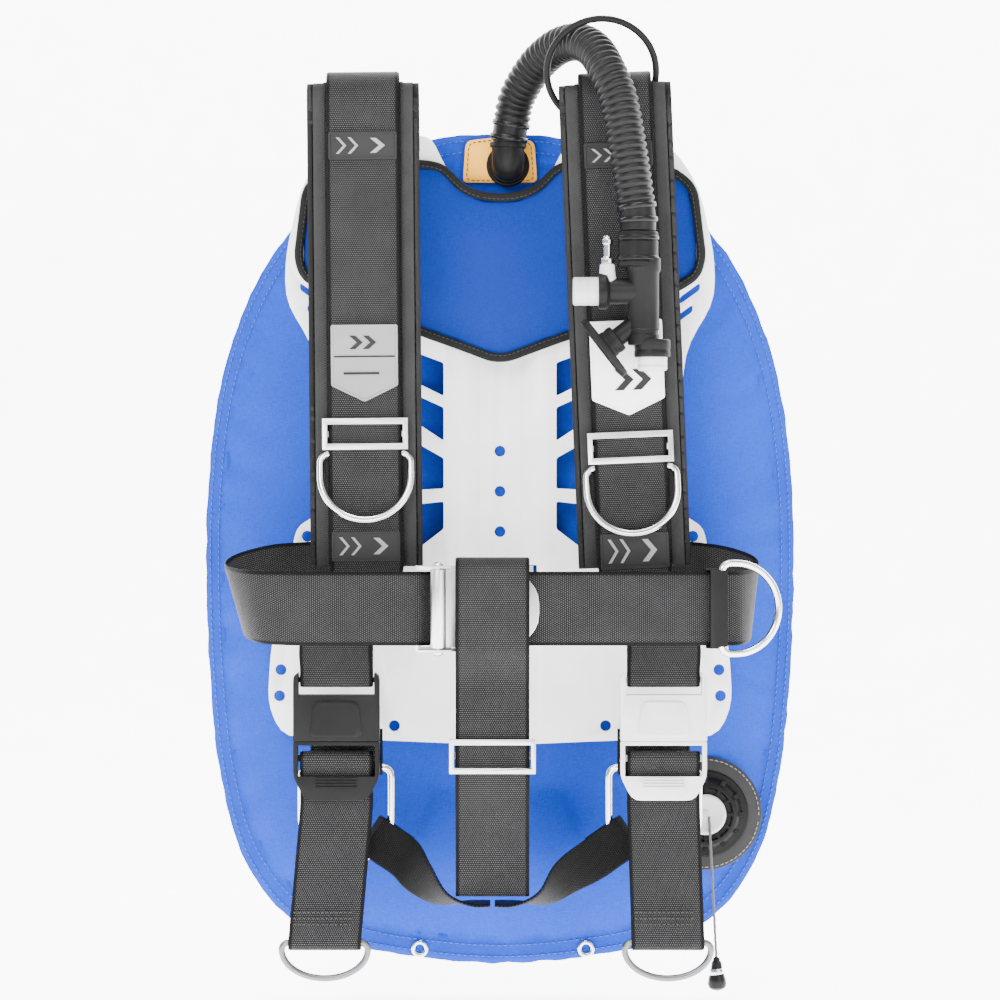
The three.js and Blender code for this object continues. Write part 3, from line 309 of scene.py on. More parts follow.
class Finish:
    # A material with one Principled shader. Values that are the same all over are set on its own sockets.
    def __init__(self, name, color, roughness, **inputs):
        self.material = bpy.data.materials.new(name)
        self.material.use_nodes = True
        self.tree = self.material.node_tree
        self.shader = self.tree.nodes["Principled BSDF"]
        self.shader.inputs["Base Color"].default_value = (*color, 1)
        self.shader.inputs["Roughness"].default_value = roughness
        self.relief = None
        for key, value in inputs.items():
            self.shader.inputs[key.replace("_", " ")].default_value = value

    def node(self, kind, settings=None, sockets=None, output=0):
        made = self.tree.nodes.new(kind)
        for key, value in (settings or {}).items():
            setattr(made, key, value)
        for key, value in (sockets or {}).items():
            if isinstance(value, Socket):
                self.tree.links.new(value.output, made.inputs[key])
            else:
                made.inputs[key].default_value = value
        return Socket(self, made.outputs[output])

    def feed(self, name, value):
        self.tree.links.new(value.output, self.shader.inputs[name])
        return self

    def axes(self, source="object"):
        # X, Y and Z of the piece's own space, or of the flat lay of its cloth.
        if source == "lay":
            vector = self.node("ShaderNodeAttribute", {"attribute_name": "lay"}, output="Vector")
        else:
            vector = self.node("ShaderNodeTexCoord", output="Object")
        split = self.node("ShaderNodeSeparateXYZ", sockets={0: vector})
        return [Socket(self, split.output.node.outputs[i]) for i in range(3)]

    def noise(self, scale, detail=2.0, roughness=0.5, stretch=None):
        place = self.node("ShaderNodeTexCoord", output="Object")
        if stretch:
            place = self.node("ShaderNodeMapping", sockets={"Vector": place, "Scale": stretch})
        return self.node("ShaderNodeTexNoise", sockets={"Vector": place, "Scale": scale, "Detail": detail,
                                                        "Roughness": roughness})

    def blend(self, factor, low, high):
        # A colour between two, by a 0..1 factor.
        return self.node("ShaderNodeMix", {"data_type": "RGBA"},
                         {0: factor, 6: low if isinstance(low, Socket) else (*low, 1),
                          7: high if isinstance(high, Socket) else (*high, 1)}, output=2)

    def bump(self, height, distance, strength=1.0):
        # Relief in metres; a second call adds to the first.
        sockets = {"Height": height, "Distance": distance, "Strength": strength}
        if self.relief:
            sockets["Normal"] = self.relief
        self.relief = self.node("ShaderNodeBump", sockets=sockets)
        return self.feed("Normal", self.relief)


clothLook = {
    "blue": (0.006, 0.040, 0.340), "blueDeep": (0.001, 0.014, 0.190), "blueLight": (0.010, 0.062, 0.500),
             "thread": 0.00095,
    # web: seed is the painted highlight colour on the raised seeds, gap the painted shade colour between
    # them.
    "web": {"seed": (0.058, 0.058, 0.059), "gap": (0.0008, 0.0008, 0.0008), "across": 0.00150,
            "along": 0.00138},
}


def blueCloth(name, relief=0.00012, depth=1.0):
    # Plain-woven nylon: crossed threads, each a little lighter or darker, and slow fading over the panel.
    made = Finish(name, clothLook["blue"], 0.7, Specular_IOR_Level=0.08)
    x, _, z = made.axes()
    turn = 2 * math.pi / clothLook["thread"]
    warp, weft = (x * turn).sin(), (z * turn).sin()
    weave = (warp * weft) * 0.5 + 0.5
    threads = made.noise(260, 3, 0.7, (1, 1, 14)) * 0.5 + made.noise(260, 3, 0.7, (14, 1, 1)) * 0.5
    slow = made.noise(9, 3)
    tone = threads.above(0.5, 0.16) * 0.62 + slow * 0.3
    deep, light = [tuple(c * depth for c in clothLook[key]) for key in ("blueDeep", "blueLight")]
    made.feed("Base Color", made.blend(tone, deep, light))
    made.feed("Roughness", threads.between(0.5, 0.78))
    made.bump(weave, relief * 0.5, 0.35)
    made.bump(threads, relief, 0.5)
    return made


def webCloth(name, seed=None, gap=None):
    # Heavy webbing: rows of raised seeds, each row shifted by half a seed, with plainer edges. The seeds are
    # painted light as a highlight and the gaps between them near black as painted shade.
    look = clothLook["web"]
    made = Finish(name, look["gap"], 0.65, Specular_IOR_Level=0.08)
    across, along, _ = made.axes("lay")
    row = along / look["along"]
    column = across / look["across"] + (row.floor() % 2) * 0.5
    bulge = abs(((column % 1) * math.pi).sin()) ** 0.8
    length = abs(((row % 1) * math.pi).sin()) ** 0.7
    seeds = bulge * length
    edge = abs(across).above(0.0222, 0.0005)  # the selvedge is flatter than the middle
    raised = seeds * (1 - edge * 0.55)
    wear = made.noise(45, 4, 0.6)
    # The seeds get the painted highlight, scaled by random wear; the gaps keep the near-black painted shade.
    tone = raised.above(0.6, 0.2) * wear.between(0.55, 1.15)
    made.feed("Base Color", made.blend(tone, gap or look["gap"], seed or look["seed"]))
    made.feed("Roughness", wear.between(0.42, 0.62))
    made.bump(raised, 0.0006, 1.0)
    return made


def meshCloth(name, light=(0.024, 0.024, 0.024)):
    # Spacer mesh: small rounded holes in staggered rows.
    made = Finish(name, (0.02, 0.02, 0.02), 0.85, Specular_IOR_Level=0.06)
    x, _, z = made.axes()
    row = z / 0.0016
    column = x / 0.0019 + (row.floor() % 2) * 0.5
    cell = abs(((column % 1) * math.pi).sin()) * abs(((row % 1) * math.pi).sin())
    fuzz = made.noise(700, 3, 0.7)
    made.feed("Base Color",
              made.blend((1 - cell.above(0.72, 0.2)) * fuzz.between(0.5, 1.1), (0.008, 0.008, 0.008), light))
    made.bump(1 - cell, 0.0004, 0.7)
    made.bump(fuzz, 0.00025, 0.5)
    return made


def tapeCloth(name, light=(0.040, 0.040, 0.040), dark=(0.008, 0.008, 0.008)):
    # Folded edge tape: fine ribs along its length and a soft wear on its ridge.
    made = Finish(name, dark, 0.8, Specular_IOR_Level=0.08)
    fuzz = made.noise(900, 3, 0.7)
    slow = made.noise(60, 3)
    made.feed("Base Color", made.blend(fuzz * 0.5 + slow * 0.35, dark, light))
    made.feed("Roughness", fuzz.between(0.6, 0.85))
    made.bump(fuzz, 0.0003, 0.6)
    return made


def moulded(name, color, roughness, grain=900, depth=0.00006, **inputs):
    # Moulded plastic or rubber: a fine skin grain, slight colour drift and smudges in the gloss.
    made = Finish(name, color, roughness, **inputs)
    slow, skinGrain = made.noise(30, 3), made.noise(grain, 2)
    light = tuple(min(1, c * 1.28 + 0.004) for c in color)
    made.feed("Base Color", made.blend(slow, tuple(c * 0.82 for c in color), light))
    made.feed("Roughness", slow.between(roughness - 0.07, roughness + 0.09))
    made.bump(skinGrain, depth, 0.5)
    return made


def metal(name, color, roughness, brushed=(1, 1, 1), scratch=0.35, **inputs):
    # Polished or brushed metal: faint drawn lines, small scratches and fingerprints in the gloss.
    made = Finish(name, color, roughness, Metallic=1.0, **inputs)
    lines = made.noise(700, 3, 0.7, brushed)
    smear = made.noise(55, 4, 0.6)
    made.feed("Base Color",
              made.blend(smear, tuple(c * 0.86 for c in color), tuple(min(1, c * 1.08) for c in color)))
    made.feed("Roughness", smear.between(roughness * 0.7, roughness * 1.5))
    made.bump(lines, 0.00004, scratch)
    return made


blue = blueCloth("blue_cell_cloth")
bluePadCloth = blueCloth("blue_pad_cloth", 0.00012, 0.55)
web = webCloth("black_webbing")
# A darker copy of the webbing with painted shade, for the crotch legs that hang in shadow.
paintedShadeWeb = webCloth("painted_shade_webbing", seed=(0.010, 0.010, 0.010), gap=(0.0004, 0.0004, 0.0004))
padMesh = meshCloth("shoulder_mesh")
tape = tapeCloth("edge_tape")
blackTape = tapeCloth("pad_edge_tape", (0.016, 0.016, 0.016), (0.003, 0.003, 0.003))
thread = moulded("sewing_thread", (0.012, 0.012, 0.012), 0.65)
steel = metal("polished_steel", (0.72, 0.72, 0.73), 0.16)
brushedSteel = metal("brushed_steel", (0.62, 0.62, 0.62), 0.3, (1, 1, 30), 0.6)
darkSteel = metal("dark_steel", (0.16, 0.16, 0.165), 0.34)
blackPlastic = moulded("black_plastic", (0.004, 0.004, 0.004), 0.4, Specular_IOR_Level=0.08)
glossPlastic = moulded("gloss_plastic", (0.004, 0.004, 0.004), 0.24, Specular_IOR_Level=0.14)
greyPlastic = moulded("light_grey_plastic", (0.46, 0.46, 0.46), 0.34, Specular_IOR_Level=0.5)
badgeRubber = moulded("badge_rubber", (0.16, 0.16, 0.16), 0.55)
whiteRubber = moulded("white_badge_rubber", (0.80, 0.80, 0.80), 0.5)
hoseRubber = moulded("hose_rubber", (0.003, 0.003, 0.003), 0.40, Specular_IOR_Level=0.14)
softRubber = moulded("black_rubber", (0.003, 0.003, 0.003), 0.5, Specular_IOR_Level=0.1)
whiteCoat = moulded("white_powder_coat", (0.93, 0.93, 0.93), 0.4, 1600, 0.00008, Coat_Weight=0.15,
                    Coat_Roughness=0.3)
orangeCloth = moulded("orange_cloth", (0.860, 0.370, 0.015), 0.55, 700, 0.0002)
print("finishes made")


# Cords: the corrugated hose and the dump valve's pull cord.

def mm(stops):
    # Stops given in millimetres, with anything after the third value left as it is.
    return [[c * 0.001 for c in stop[:3]] + list(stop[3:]) for stop in stops]


hoseLook = {
    "stops": [(5.5, -30, 198.4), (7.6, -31, 210), (11, -34, 227), (18, -40, 240.5), (27, -48, 252),
              (40, -62, 261),
              (53, -78, 262), (64, -96, 254), (72, -112, 238), (79, -119, 220), (83, -122.5, 200),
              (86.5, -124.5, 178), (89.5, -125.6, 157), (92, -126, 138), (92, -126, 130.4)],
    "diameter": 0.026, "ridge": 0.0129, "valley": 0.0106, "pitch": 0.0051, "cuff": 0.02,
}


def makeHose():
    look = hoseLook
    stops = mm(look["stops"])
    length = pathLength(spline(stops, 200))
    count = int(length / look["pitch"] * 8)
    path = spline(stops, count)
    rings = []
    for i, ring in enumerate(tubeRings(path, 1.0, 40)):
        along = length * i / (count - 1)
        wave = abs(math.sin(math.pi * along / look["pitch"])) ** 0.6  # broad ridges and narrow valleys
        radius = look["valley"] + (look["ridge"] - look["valley"]) * wave
        ends = min(along, length - along)
        if ends < look["cuff"]:  # a smooth cuff at each end
            radius = 0.0119 if ends < look["cuff"] * 0.85 else radius
        middle = Vector(path[i][:3])
        rings.append([middle + (p - middle) * radius for p in ring])
    hose = makeMesh("hose", *skin(rings), hoseRubber)
    place(hose, "vest", "corrugated_hose", slot="soft_rubber")
    [tuple(p[:3]) for p in path[::6]] + [tuple(path[-1][:3])]
    for name, spot in (("hose_tie_port", 5), ("hose_tie_port_upper", 20), ("hose_tie_cuff", count - 12),
                       ("hose_tie_cuff_upper", count - 26)):
        makeTie(name, path, spot)


def makeTie(name, path, spot):
    # A cable tie: a flat band round the hose.
    middle, ahead = Vector(path[spot][:3]), Vector(path[spot + 1][:3])
    along = (ahead - middle).normalized()
    across = along.orthogonal().normalized()
    side = along.cross(across)
    turns = 48
    rings = []
    for k in range(turns):
        a = 2 * math.pi * k / turns
        out = across * math.cos(a) + side * math.sin(a)
        rings.append([middle + out * r + along * h for r, h in
                      ((0.0119, -0.0018), (0.0131, -0.0018), (0.0133, 0), (0.0131, 0.0018),
                       (0.0119, 0.0018))])
    points, faces = skin(rings, closedAlong=True)
    place(makeMesh(name, points, faces, glossPlastic), "vest", slot="black_plastic")


makeHose()

dumpLook = {
    "x": 0.142, "z": -0.266,
    "cord": [(144, -41.75, -267), (144.6, -42.25, -278), (146.5, -42.25, -316), (149, -41.75, -364)],
    "toggle": [(0, 0.0009), (0.0006, 0.0022), (0.003, 0.0026), (0.0034, 0.0034), (0.009, 0.0042),
               (0.015, 0.006),
               (0.0185, 0.0066), (0.0213, 0.0057), (0.0228, 0.0032), (0.0234, 0.0006)],
}


def makeDumpCord():
    stops = mm(dumpLook["cord"])
    count = 220
    path = spline(stops, count)
    rings = []
    for i, ring in enumerate(tubeRings(path, 1.0, 16)):
        middle = Vector(path[i][:3])
        # three strands laid round each other
        rings.append([middle + (p - middle)
                      * (0.00088 + 0.00012 * math.cos(3 * (2 * math.pi * k / 16 + i * 0.16)))
                      for k, p in enumerate(ring)])
    cord = makeMesh("pull_cord", *skin(rings), cordCloth)
    place(cord, "dump_pull_body", "dump_cord", slot="webbing")
    end = Vector(path[-1][:3])
    toggle = lathe("pull_toggle", dumpLook["toggle"], end + Vector((0, 0, 0.0004)), (0.03, 0, -1),
                   glossPlastic)
    place(toggle, "dump_pull_body", "dump_toggle", slot="black_plastic")
    cap = lathe("pull_toggle_cap", [(0, 0.0045), (0.0015, 0.0050), (0.0035, 0.0051), (0.005, 0.0049)],
                end - Vector((0, 0, 0.0075)), (0.03, 0, -1), steel)
    place(cap, "dump_pull_body", slot="steel")
    [tuple(p[:3]) for p in path[::8]] + [tuple(path[-1][:3])]


cordCloth = moulded("pull_cord_braid", (0.05, 0.05, 0.05), 0.6, 1200, 0.0001)
makeDumpCord()
print("cords made")


# Webbing.

def webbing(name, stops, body, nodes=(), width=0.049, thick=0.0022, across=(1, 0, 0), finish=None,
            closed=False,
            slot="webbing", step=0.0016):
    # Flat webbing with soft edges. A stop may end with the direction that its width runs in.
    stops = [list(s) + (list(across) if len(s) == 3 else []) for s in mm(stops)]
    rough = spline(stops, 300, closed)
    count = max(24, int(pathLength(rough) / step))
    path = spline(stops, count, closed)
    half, edge = width / 2, thick * 0.55
    section = [(-half, -thick * 0.22), (-half + edge, -thick / 2), (-half * 0.4, -thick / 2),
               (half * 0.4, -thick / 2),
               (half - edge, -thick / 2), (half, -thick * 0.22), (half, thick * 0.22),
               (half - edge, thick / 2),
               (half * 0.4, thick / 2), (-half * 0.4, thick / 2), (-half + edge, thick / 2),
               (-half, thick * 0.22)]
    rings, lay, along = [], [], 0.0
    for i, stop in enumerate(path):
        here = Vector(stop[:3])
        after = Vector(path[(i + 1) % count if closed else min(i + 1, count - 1)][:3])
        before = Vector(path[i - 1 if closed else max(i - 1, 0)][:3])
        side = Vector(stop[3:6]).normalized()
        normal = (after - before).cross(side).normalized()
        along += (here - Vector(path[i - 1][:3])).length if i else 0
        rings.append([here + side * a + normal * b for a, b in section])
        lay += [(a, along) for a, b in section]
    points, faces = skin(rings, closed)
    return place(makeMesh(name, points, faces, finish or web, lay=lay), body, *nodes, slot=slot)


strapLook = {
    "left": {"x": -90, "lean": -0.5, "hip": -110, "drift": -8},
             "right": {"x": 91, "lean": -2.4, "hip": 110, "drift": 3},
    "run": -100, "fold": 17, "top": 223, "pivot": -90, "slot": 190, "eye": -170, "mouth": -211,
}


def leaning(side, x, y, z):
    # A point of the strap, in millimetres, from its place across the strap and its height.
    look = strapLook[side]
    turn = math.radians(look["lean"])
    up = z - strapLook["pivot"]
    return (look["x"] + x * math.cos(turn) + up * math.sin(turn), y,
            strapLook["pivot"] - x * math.sin(turn) + up * math.cos(turn))


def leant(degrees, x, y, z):
    # A point turned in the plane of the strap by a lean.
    turn = math.radians(degrees)
    return x * math.cos(turn) + z * math.sin(turn), y, -x * math.sin(turn) + z * math.cos(turn)


def leanSide(side):
    turn = math.radians(strapLook[side]["lean"])
    return math.cos(turn), 0, -math.sin(turn)


def arcStops(y, z, radius, start, end, count):
    return [(y - radius * math.cos(math.radians(a)), z - radius * math.sin(math.radians(a)))
            for a in [start + (end - start) * i / (count - 1) for i in range(count)]]


for side in ("left", "right"):
    look, run = strapLook[side], strapLook["run"]
    hip, eye, top = look["hip"], strapLook["eye"], strapLook["top"]
    slotX = leaning(side, 0, 0, strapLook["slot"])[0]
    slotFront = -29 - max(0, abs(slotX) - 26) * math.tan(math.radians(5))
    held = [(hip, run + 4.6, eye + 24), (hip, run + 3.6, eye + 8),
            *[(hip, y, z) for y, z in arcStops(run, eye, 3.9, 180, 0, 7)], (hip, run - 3.4, eye + 7),
            (hip, run - 2, eye + 26)]
    fold = arcStops(run + strapLook["fold"], top, strapLook["fold"], 0, -150, 6)
    upper = [(run, -98), (run, -70), (run, 80), (run, top - 14), *fold, (slotFront - 16, 209),
             (slotFront - 6, 196),
             (slotFront + 1.5, 190), (slotFront + 8, 183)]
    webbing("strap_webbing_" + side, [(*s, 1, 0, 0) for s in held]
            + [(*leaning(side, 0, y, z), *leanSide(side)) for y, z in upper], "vest",
            ["shoulder_webbing_" + side])

    # The lower strap: from the hip ring up behind, over the clip's bar, and down as a loose tail.
    mouth, ringX = strapLook["mouth"], math.copysign(104, hip)
    foot, bar = mouth - 43, mouth - 11.8

    def drift(z):
        return hip + look["drift"] * (foot - z) / (foot + 348)
    webbing("lower_webbing_" + side, [
        (ringX, run + 17.5, -204), (ringX, run + 17.3, -224),
                                      *[(ringX, y, z) for y, z in arcStops(run + 13.1, -230, 4.1, 180, 0, 7)],
        (ringX, run + 9, -225), (hip, run + 5.4, bar - 14),
                                      *[(hip, y, z) for y, z in arcStops(run, bar, 3.9, 180, 375, 8)],
        (hip, run + 0.2, bar - 13), (hip, run + 0.4, bar - 22), (drift(foot), run - 0.4, foot),
                                      (drift(-300), run - 2.5, -300),
        (drift(-334), run - 3.8, -334),
                                      *[(drift(-348), y, z) for y,
                                        z in arcStops(run + 0.4, -347, 4.1, 0, 180, 7)],
        (drift(-334), run + 3.2, -326)], "hip_" + side + "_body", ["lower_strap_" + side])

webbing("belt_left", [
    (-98, -27.5, -101), (-112, -34.5, -101), (-128, -50, -102), (-154, -62, -104, -0.1, 0, 1),
                      (-174, -80, -110, -0.28, 0, 1),
    (-178, -102, -116, -0.28, 0, 1), (-164, -126, -120, -0.15, 0, 1), (-138, -135, -121, -0.02, 0, 1),
    (-100, -137.2, -121), (-66, -137.2, -121), (-57, -138.6, -121), (-53, -138.5, -121),
                      (-48.5, -135.6, -121),
    (-44, -132.6, -121), (-34, -131.8, -121)], "vest", ["waist_belt_left"], across=(0, 0, 1))
ringTurn = math.radians(16)
webbing("belt_right", [
    (98, -27.5, -101), (112, -34.5, -101), (130, -50, -102), (152, -64, -105, 0.06, 0, 1),
                       (167, -84, -111, 0.2, 0, 1),
    (170, -108, -118, 0.1, 0, 1),
    *[(146 + a * math.cos(ringTurn), -133 + a * math.sin(ringTurn), -121) for a in (14, 0, -14)],
    (112, -138.2, -121), (80, -138.2, -121), (20, -138.2, -121), (-20, -138.2, -121), (-38, -138.2, -121)],
    "vest", ["waist_belt_right"], across=(0, 0, 1))

# The crotch strap: doubled, with its loop over the buckle.
# These are the loop's front, its back and the layers' place.
crotchLook = {"x": -5, "front": -150.2, "back": -128.7, "merge": -137.7, "mergeZ": -155, "foldTop": -88,
              "step": 2.5}
crotchX, loopFront, loopBack = crotchLook["x"], crotchLook["front"], crotchLook["back"]
mergeY, mergeZ = crotchLook["merge"], crotchLook["mergeZ"]
foldTop, step = crotchLook["foldTop"], crotchLook["step"]
webbing("crotch_webbing", [(crotchX, y, z) for y, z in (
    (-124, -313), (-128, -268), (mergeY, -235), (mergeY, -219), (mergeY, -203), (mergeY - 0.5, mergeZ - 12),
    (loopFront + 2, mergeZ + 4), (loopFront, mergeZ + 14), (loopFront, -104), (loopFront + 1.4, -91.5),
    ((loopFront + loopBack) / 2, foldTop), (loopBack - 1.4, -91.5), (loopBack, -104), (loopBack, mergeZ + 12),
    (mergeY + 4.5, mergeZ - 2), (mergeY + step, mergeZ - 14), (mergeY + step, -203), (mergeY + step, -219),
    (mergeY + step, -235), (-128 + step, -268), (-124 + step, -313))], "vest", ["crotch_strap"])

# A crotch leg hangs in the hip ring's bow, at an angle in radians below the level.
hipRing = {"x": 104, "y": -86.9, "z": -230, "width": 60.8, "height": 64, "corner": 6, "rod": 0.0024}
legLook = {"width": 0.0284, "slope": 0.6, "bow": 30.4}
for side, s in (("left", -1), ("right", 1)):
    ringY, bow, slope = hipRing["y"], legLook["bow"], legLook["slope"]
    middle = Vector((s * hipRing["x"], ringY, hipRing["z"] - hipRing["height"] + bow))
    inward = Vector((-s * math.cos(slope), 0, -math.sin(slope)))

    def onLeg(along, y):
        p = middle + inward * along
        return p.x, ringY + y, p.z, math.sin(slope), 0, s * -math.cos(slope)
    # The legs take the darker webbing with painted shade.
    webbing("crotch_leg_webbing_" + side, [
        onLeg(bow + 16, 3.4), onLeg(bow + 6, 4.4), onLeg(bow - 8, 4.4), onLeg(bow - 11.5, 0),
                                           onLeg(bow - 8, -4.4),
        onLeg(bow + 6, -4.4), onLeg(bow + 18, -6), (crotchX + s * 49, -104, -303, 0.5, s * 0.5, s * -0.7),
        (crotchX + s * 34, -111, -316, 0.25, s * 0.9, s * -0.35),
        (crotchX + s * 14, -119, -318.6, 0.05, s, 0), (crotchX + s * 1.5, -119, -318.6, 0, s, 0)],
        "hip_" + side + "_body", ["crotch_leg_" + side], width=legLook["width"], finish=paintedShadeWeb)
print("webbing made")


# Air cell.

def settle(thing, pinned, pressure, frames=20, cap=0.008, stiffness=8.0):
    # Inflates a piece as cloth with its pinned points held.
    # Each point is then kept within the cap of where it was.
    start = [v.co.copy() for v in thing.data.vertices]
    group = thing.vertex_groups.new(name="held")
    group.add(pinned, 1.0, "REPLACE")
    cloth = thing.modifiers.new("cloth", "CLOTH")
    cloth.settings.vertex_group_mass = "held"
    cloth.settings.use_pressure = True
    cloth.settings.uniform_pressure_force = pressure
    cloth.settings.effector_weights.gravity = 0
    cloth.settings.quality = 4
    cloth.settings.tension_stiffness = stiffness
    cloth.settings.compression_stiffness = stiffness
    cloth.settings.bending_stiffness = 0.2
    cloth.collision_settings.use_collision = False
    cloth.point_cache.frame_end = frames
    for f in range(1, frames + 1):
        bpy.context.scene.frame_set(f)
    applyModifiers(thing)
    bpy.context.scene.frame_set(1)
    for v, home in zip(thing.data.vertices, start):
        move = v.co - home
        if move.length > cap:
            v.co = home + move * (cap / move.length)
    thing.vertex_groups.clear()
    return thing


cellLook = {
    "width": 0.410, "height": 0.578, "top": 0.206, "seamY": -0.008, "crown": 0.0178, "flange": 0.935,
            "strip": 0.044,
    "ramp": 0.05, "flat": 0.0034, "plateBottom": -0.219, "turns": 300, "rows": 42, "seamThick": 0.0014,
            "pressure": 3.2, "cap": 0.005,
    "half": [(0, 0), (0.2, 0.004), (0.42, 0.034), (0.6, 0.078), (0.75, 0.133), (0.87, 0.21), (0.95, 0.3),
             (0.993, 0.42),
             (1, 0.53), (0.988, 0.65), (0.95, 0.775), (0.87, 0.875), (0.72, 0.945), (0.5, 0.978),
             (0.25, 0.994), (0, 1)],
}


def smooth(t):
    t = min(1, max(0, t))
    return t * t * (3 - 2 * t)


def cellEdge(count):
    look = cellLook
    whole = look["half"] + [(-w, h) for w, h in reversed(look["half"][1:-1])]
    stops = [(w * look["width"] / 2, 0, look["top"] - h * look["height"]) for w, h in whole]
    return [Vector(p) for p in spline(stops, count, closed=True)]


cellMiddle = Vector((0, 0, cellLook["top"] - cellLook["height"] / 2))


def cellRise(share, point):
    # How far the cloth stands off the seam at a point.
    look = cellLook
    fromEdge = min(1, max(0, (look["flange"] - share) / 0.3))
    fromStrip = math.hypot(max(0, abs(point.x) - look["strip"]), max(0, look["plateBottom"] - 0.03 - point.z))
    rise = smooth(fromStrip / look["ramp"])
    return math.sin(fromEdge * math.pi / 2) ** 0.7 * (look["flat"] + (look["crown"] - look["flat"]) * rise)


def makeCell():
    look = cellLook
    turns, rows = look["turns"], look["rows"]
    edge = cellEdge(turns)
    shares = [1.0, 0.985, 0.968, 0.95,
              0.938] + [0.93 - 0.93 * (i / (rows - 5)) ** 1.15 for i in range(rows - 5)]
    shares[-1] = min(shares[-1], 0.03)
    points, pinned, faces = [], [], []
    for facing in (-1, 1):
        for share in shares:
            for i in range(turns):
                p = cellMiddle.lerp(edge[i], share)
                rise = cellRise(share, p)
                p.y = look["seamY"] + facing * (look["seamThick"] / 2 + rise)
                inStrip = abs(p.x) < look["strip"] + 0.012 and p.z > look["plateBottom"] - 0.03
                if share > 0.945 or inStrip:
                    pinned.append(len(points))
                points.append(p)
    layer = turns * len(shares)
    for facing in (0, 1):
        for row in range(len(shares) - 1):
            for i in range(turns):
                a, b = facing * layer + row * turns + i, facing * layer + row * turns + (i + 1) % turns
                faces.append((a, b, b + turns, a + turns))
        faces.append(tuple(facing * layer + (len(shares) - 1) * turns + i for i in range(turns)))
    faces += [(i, (i + 1) % turns, layer + (i + 1) % turns, layer + i) for i in range(turns)]
    cell = makeMesh("air_cell", points, faces, blue)
    settle(cell, pinned, look["pressure"], cap=look["cap"])
    # Puckers run in from the seam, and slow folds lie across the full part.
    for v in cell.data.vertices:
        index = v.index % layer
        share, i = shares[index // turns], index % turns
        facing = -1 if v.index < layer else 1
        turn = i / turns * 2 * math.pi
        around = Vector((math.cos(turn), math.sin(turn), 0))
        pucker = noise.noise(around * 15 + Vector((0, 0, share * 3 + facing))) + 0.5 * noise.noise(around
                                                                                                   * 34)
        near = math.exp(-(0.94 - share) / 0.075) if share < 0.94 else max(0, 1 - (share - 0.94) / 0.06) * 0.45
        full = smooth((cellRise(share, v.co) - look["flat"]) / 0.01)
        fold = noise.noise(Vector((v.co.x * 16, facing * 2, v.co.z * 11))) * 0.0011 * full
        v.co.y += facing * ((pucker * 0.0034 - 0.0009) * near + fold)
        if share > 0.96:  # the rim itself is never quite straight
            v.co += (v.co - cellMiddle).normalized() * noise.noise(around * 22) * 0.0011
    place(cell, "vest", "wing_front_panel", "wing_back_panel", "wing_bladder", slot="cell_cloth")
    return edge


def subdivided(thing, levels):
    part = thing.modifiers.new("subdivision", "SUBSURF")
    part.levels = levels
    part.render_levels = levels
    return thing


def stitches(name, path, normals, body, finish=None, length=0.0026, space=0.0040, thick=0.00035, lift=0.0002):
    # A row of short thread stitches that lie on a surface along a path.
    total = pathLength(path)
    points, faces = [], []
    count = max(1, int(total / space))
    k, gone = 0, 0.0
    for n in range(count):
        goal = n * space
        while k < len(path) - 2 and gone + math.dist(path[k][:3], path[k + 1][:3]) < goal:
            gone += math.dist(path[k][:3], path[k + 1][:3])
            k += 1
        a, b = Vector(path[k][:3]), Vector(path[k + 1][:3])
        along = (b - a).normalized()
        normal = Vector(normals[k] if isinstance(normals, list) else normals)
        side = along.cross(normal).normalized()
        middle = a + along * (goal - gone) + normal * lift
        base = len(points)
        for t, r in ((-0.5, 0.25), (-0.3, 1), (0.3, 1), (0.5, 0.25)):
            for c in range(5):
                turn = 2 * math.pi * c / 5
                points.append(middle + along * (length * t)
                              + (side * math.cos(turn) + normal * math.sin(turn)) * thick * r)
        for ring in range(3):
            faces += [(base + ring * 5 + c, base + ring * 5 + (c + 1) % 5,
                       base + (ring + 1) * 5 + (c + 1) % 5,
                       base + (ring + 1) * 5 + c) for c in range(5)]
        faces += [tuple(base + c for c in range(5)), tuple(base + 15 + c for c in range(5))]
    return place(makeMesh(name, points, faces, finish or thread), body, slot="webbing")


rim = makeCell()
blueThread = moulded("blue_thread", (0.012, 0.05, 0.36), 0.6)
for name, share in (("cell_seam_outer", 0.984), ("cell_seam_inner", 0.957)):
    for facing, word in ((-1, "_front"), (1, "_back")):
        row = [cellMiddle.lerp(p, share) for p in rim + rim[:1]]
        for p in row:
            p.y = cellLook["seamY"] + facing * 0.0012
        stitches(name + word, row, (0, facing, 0), "vest", blueThread, thick=0.0005, lift=0.0001,
                 space=0.0042)

for side, x in (("left", -0.056), ("right", 0.060)):
    z = cellLook["top"] - cellLook["height"] + 0.010
    ring = []
    for k in range(40):
        turn = 2 * math.pi * k / 40
        out = Vector((math.cos(turn), 0, math.sin(turn)))
        ring.append([Vector((x, -0.008, z)) + out * r + Vector((0, y, 0)) for r, y in (
            (0.0030, -0.0016), (0.0034, -0.0027), (0.0046, -0.0030), (0.0058, -0.0026), (0.0061, -0.0018),
            (0.0061, 0.0018), (0.0058, 0.0026), (0.0046, 0.0030), (0.0034, 0.0027), (0.0030, 0.0016))])
    points, faces = skin(ring, closedAlong=True)
    place(makeMesh("eyelet_" + side, points, faces, steel), "vest", "wing_grommet_" + side, slot="steel")
print("air cell made")


# Plate and back pad.

def plateFront(x):
    # The plate's front face, which slopes forward away from its middle channel.
    return -0.029 - max(0, abs(x) - 0.026) * math.tan(math.radians(5))


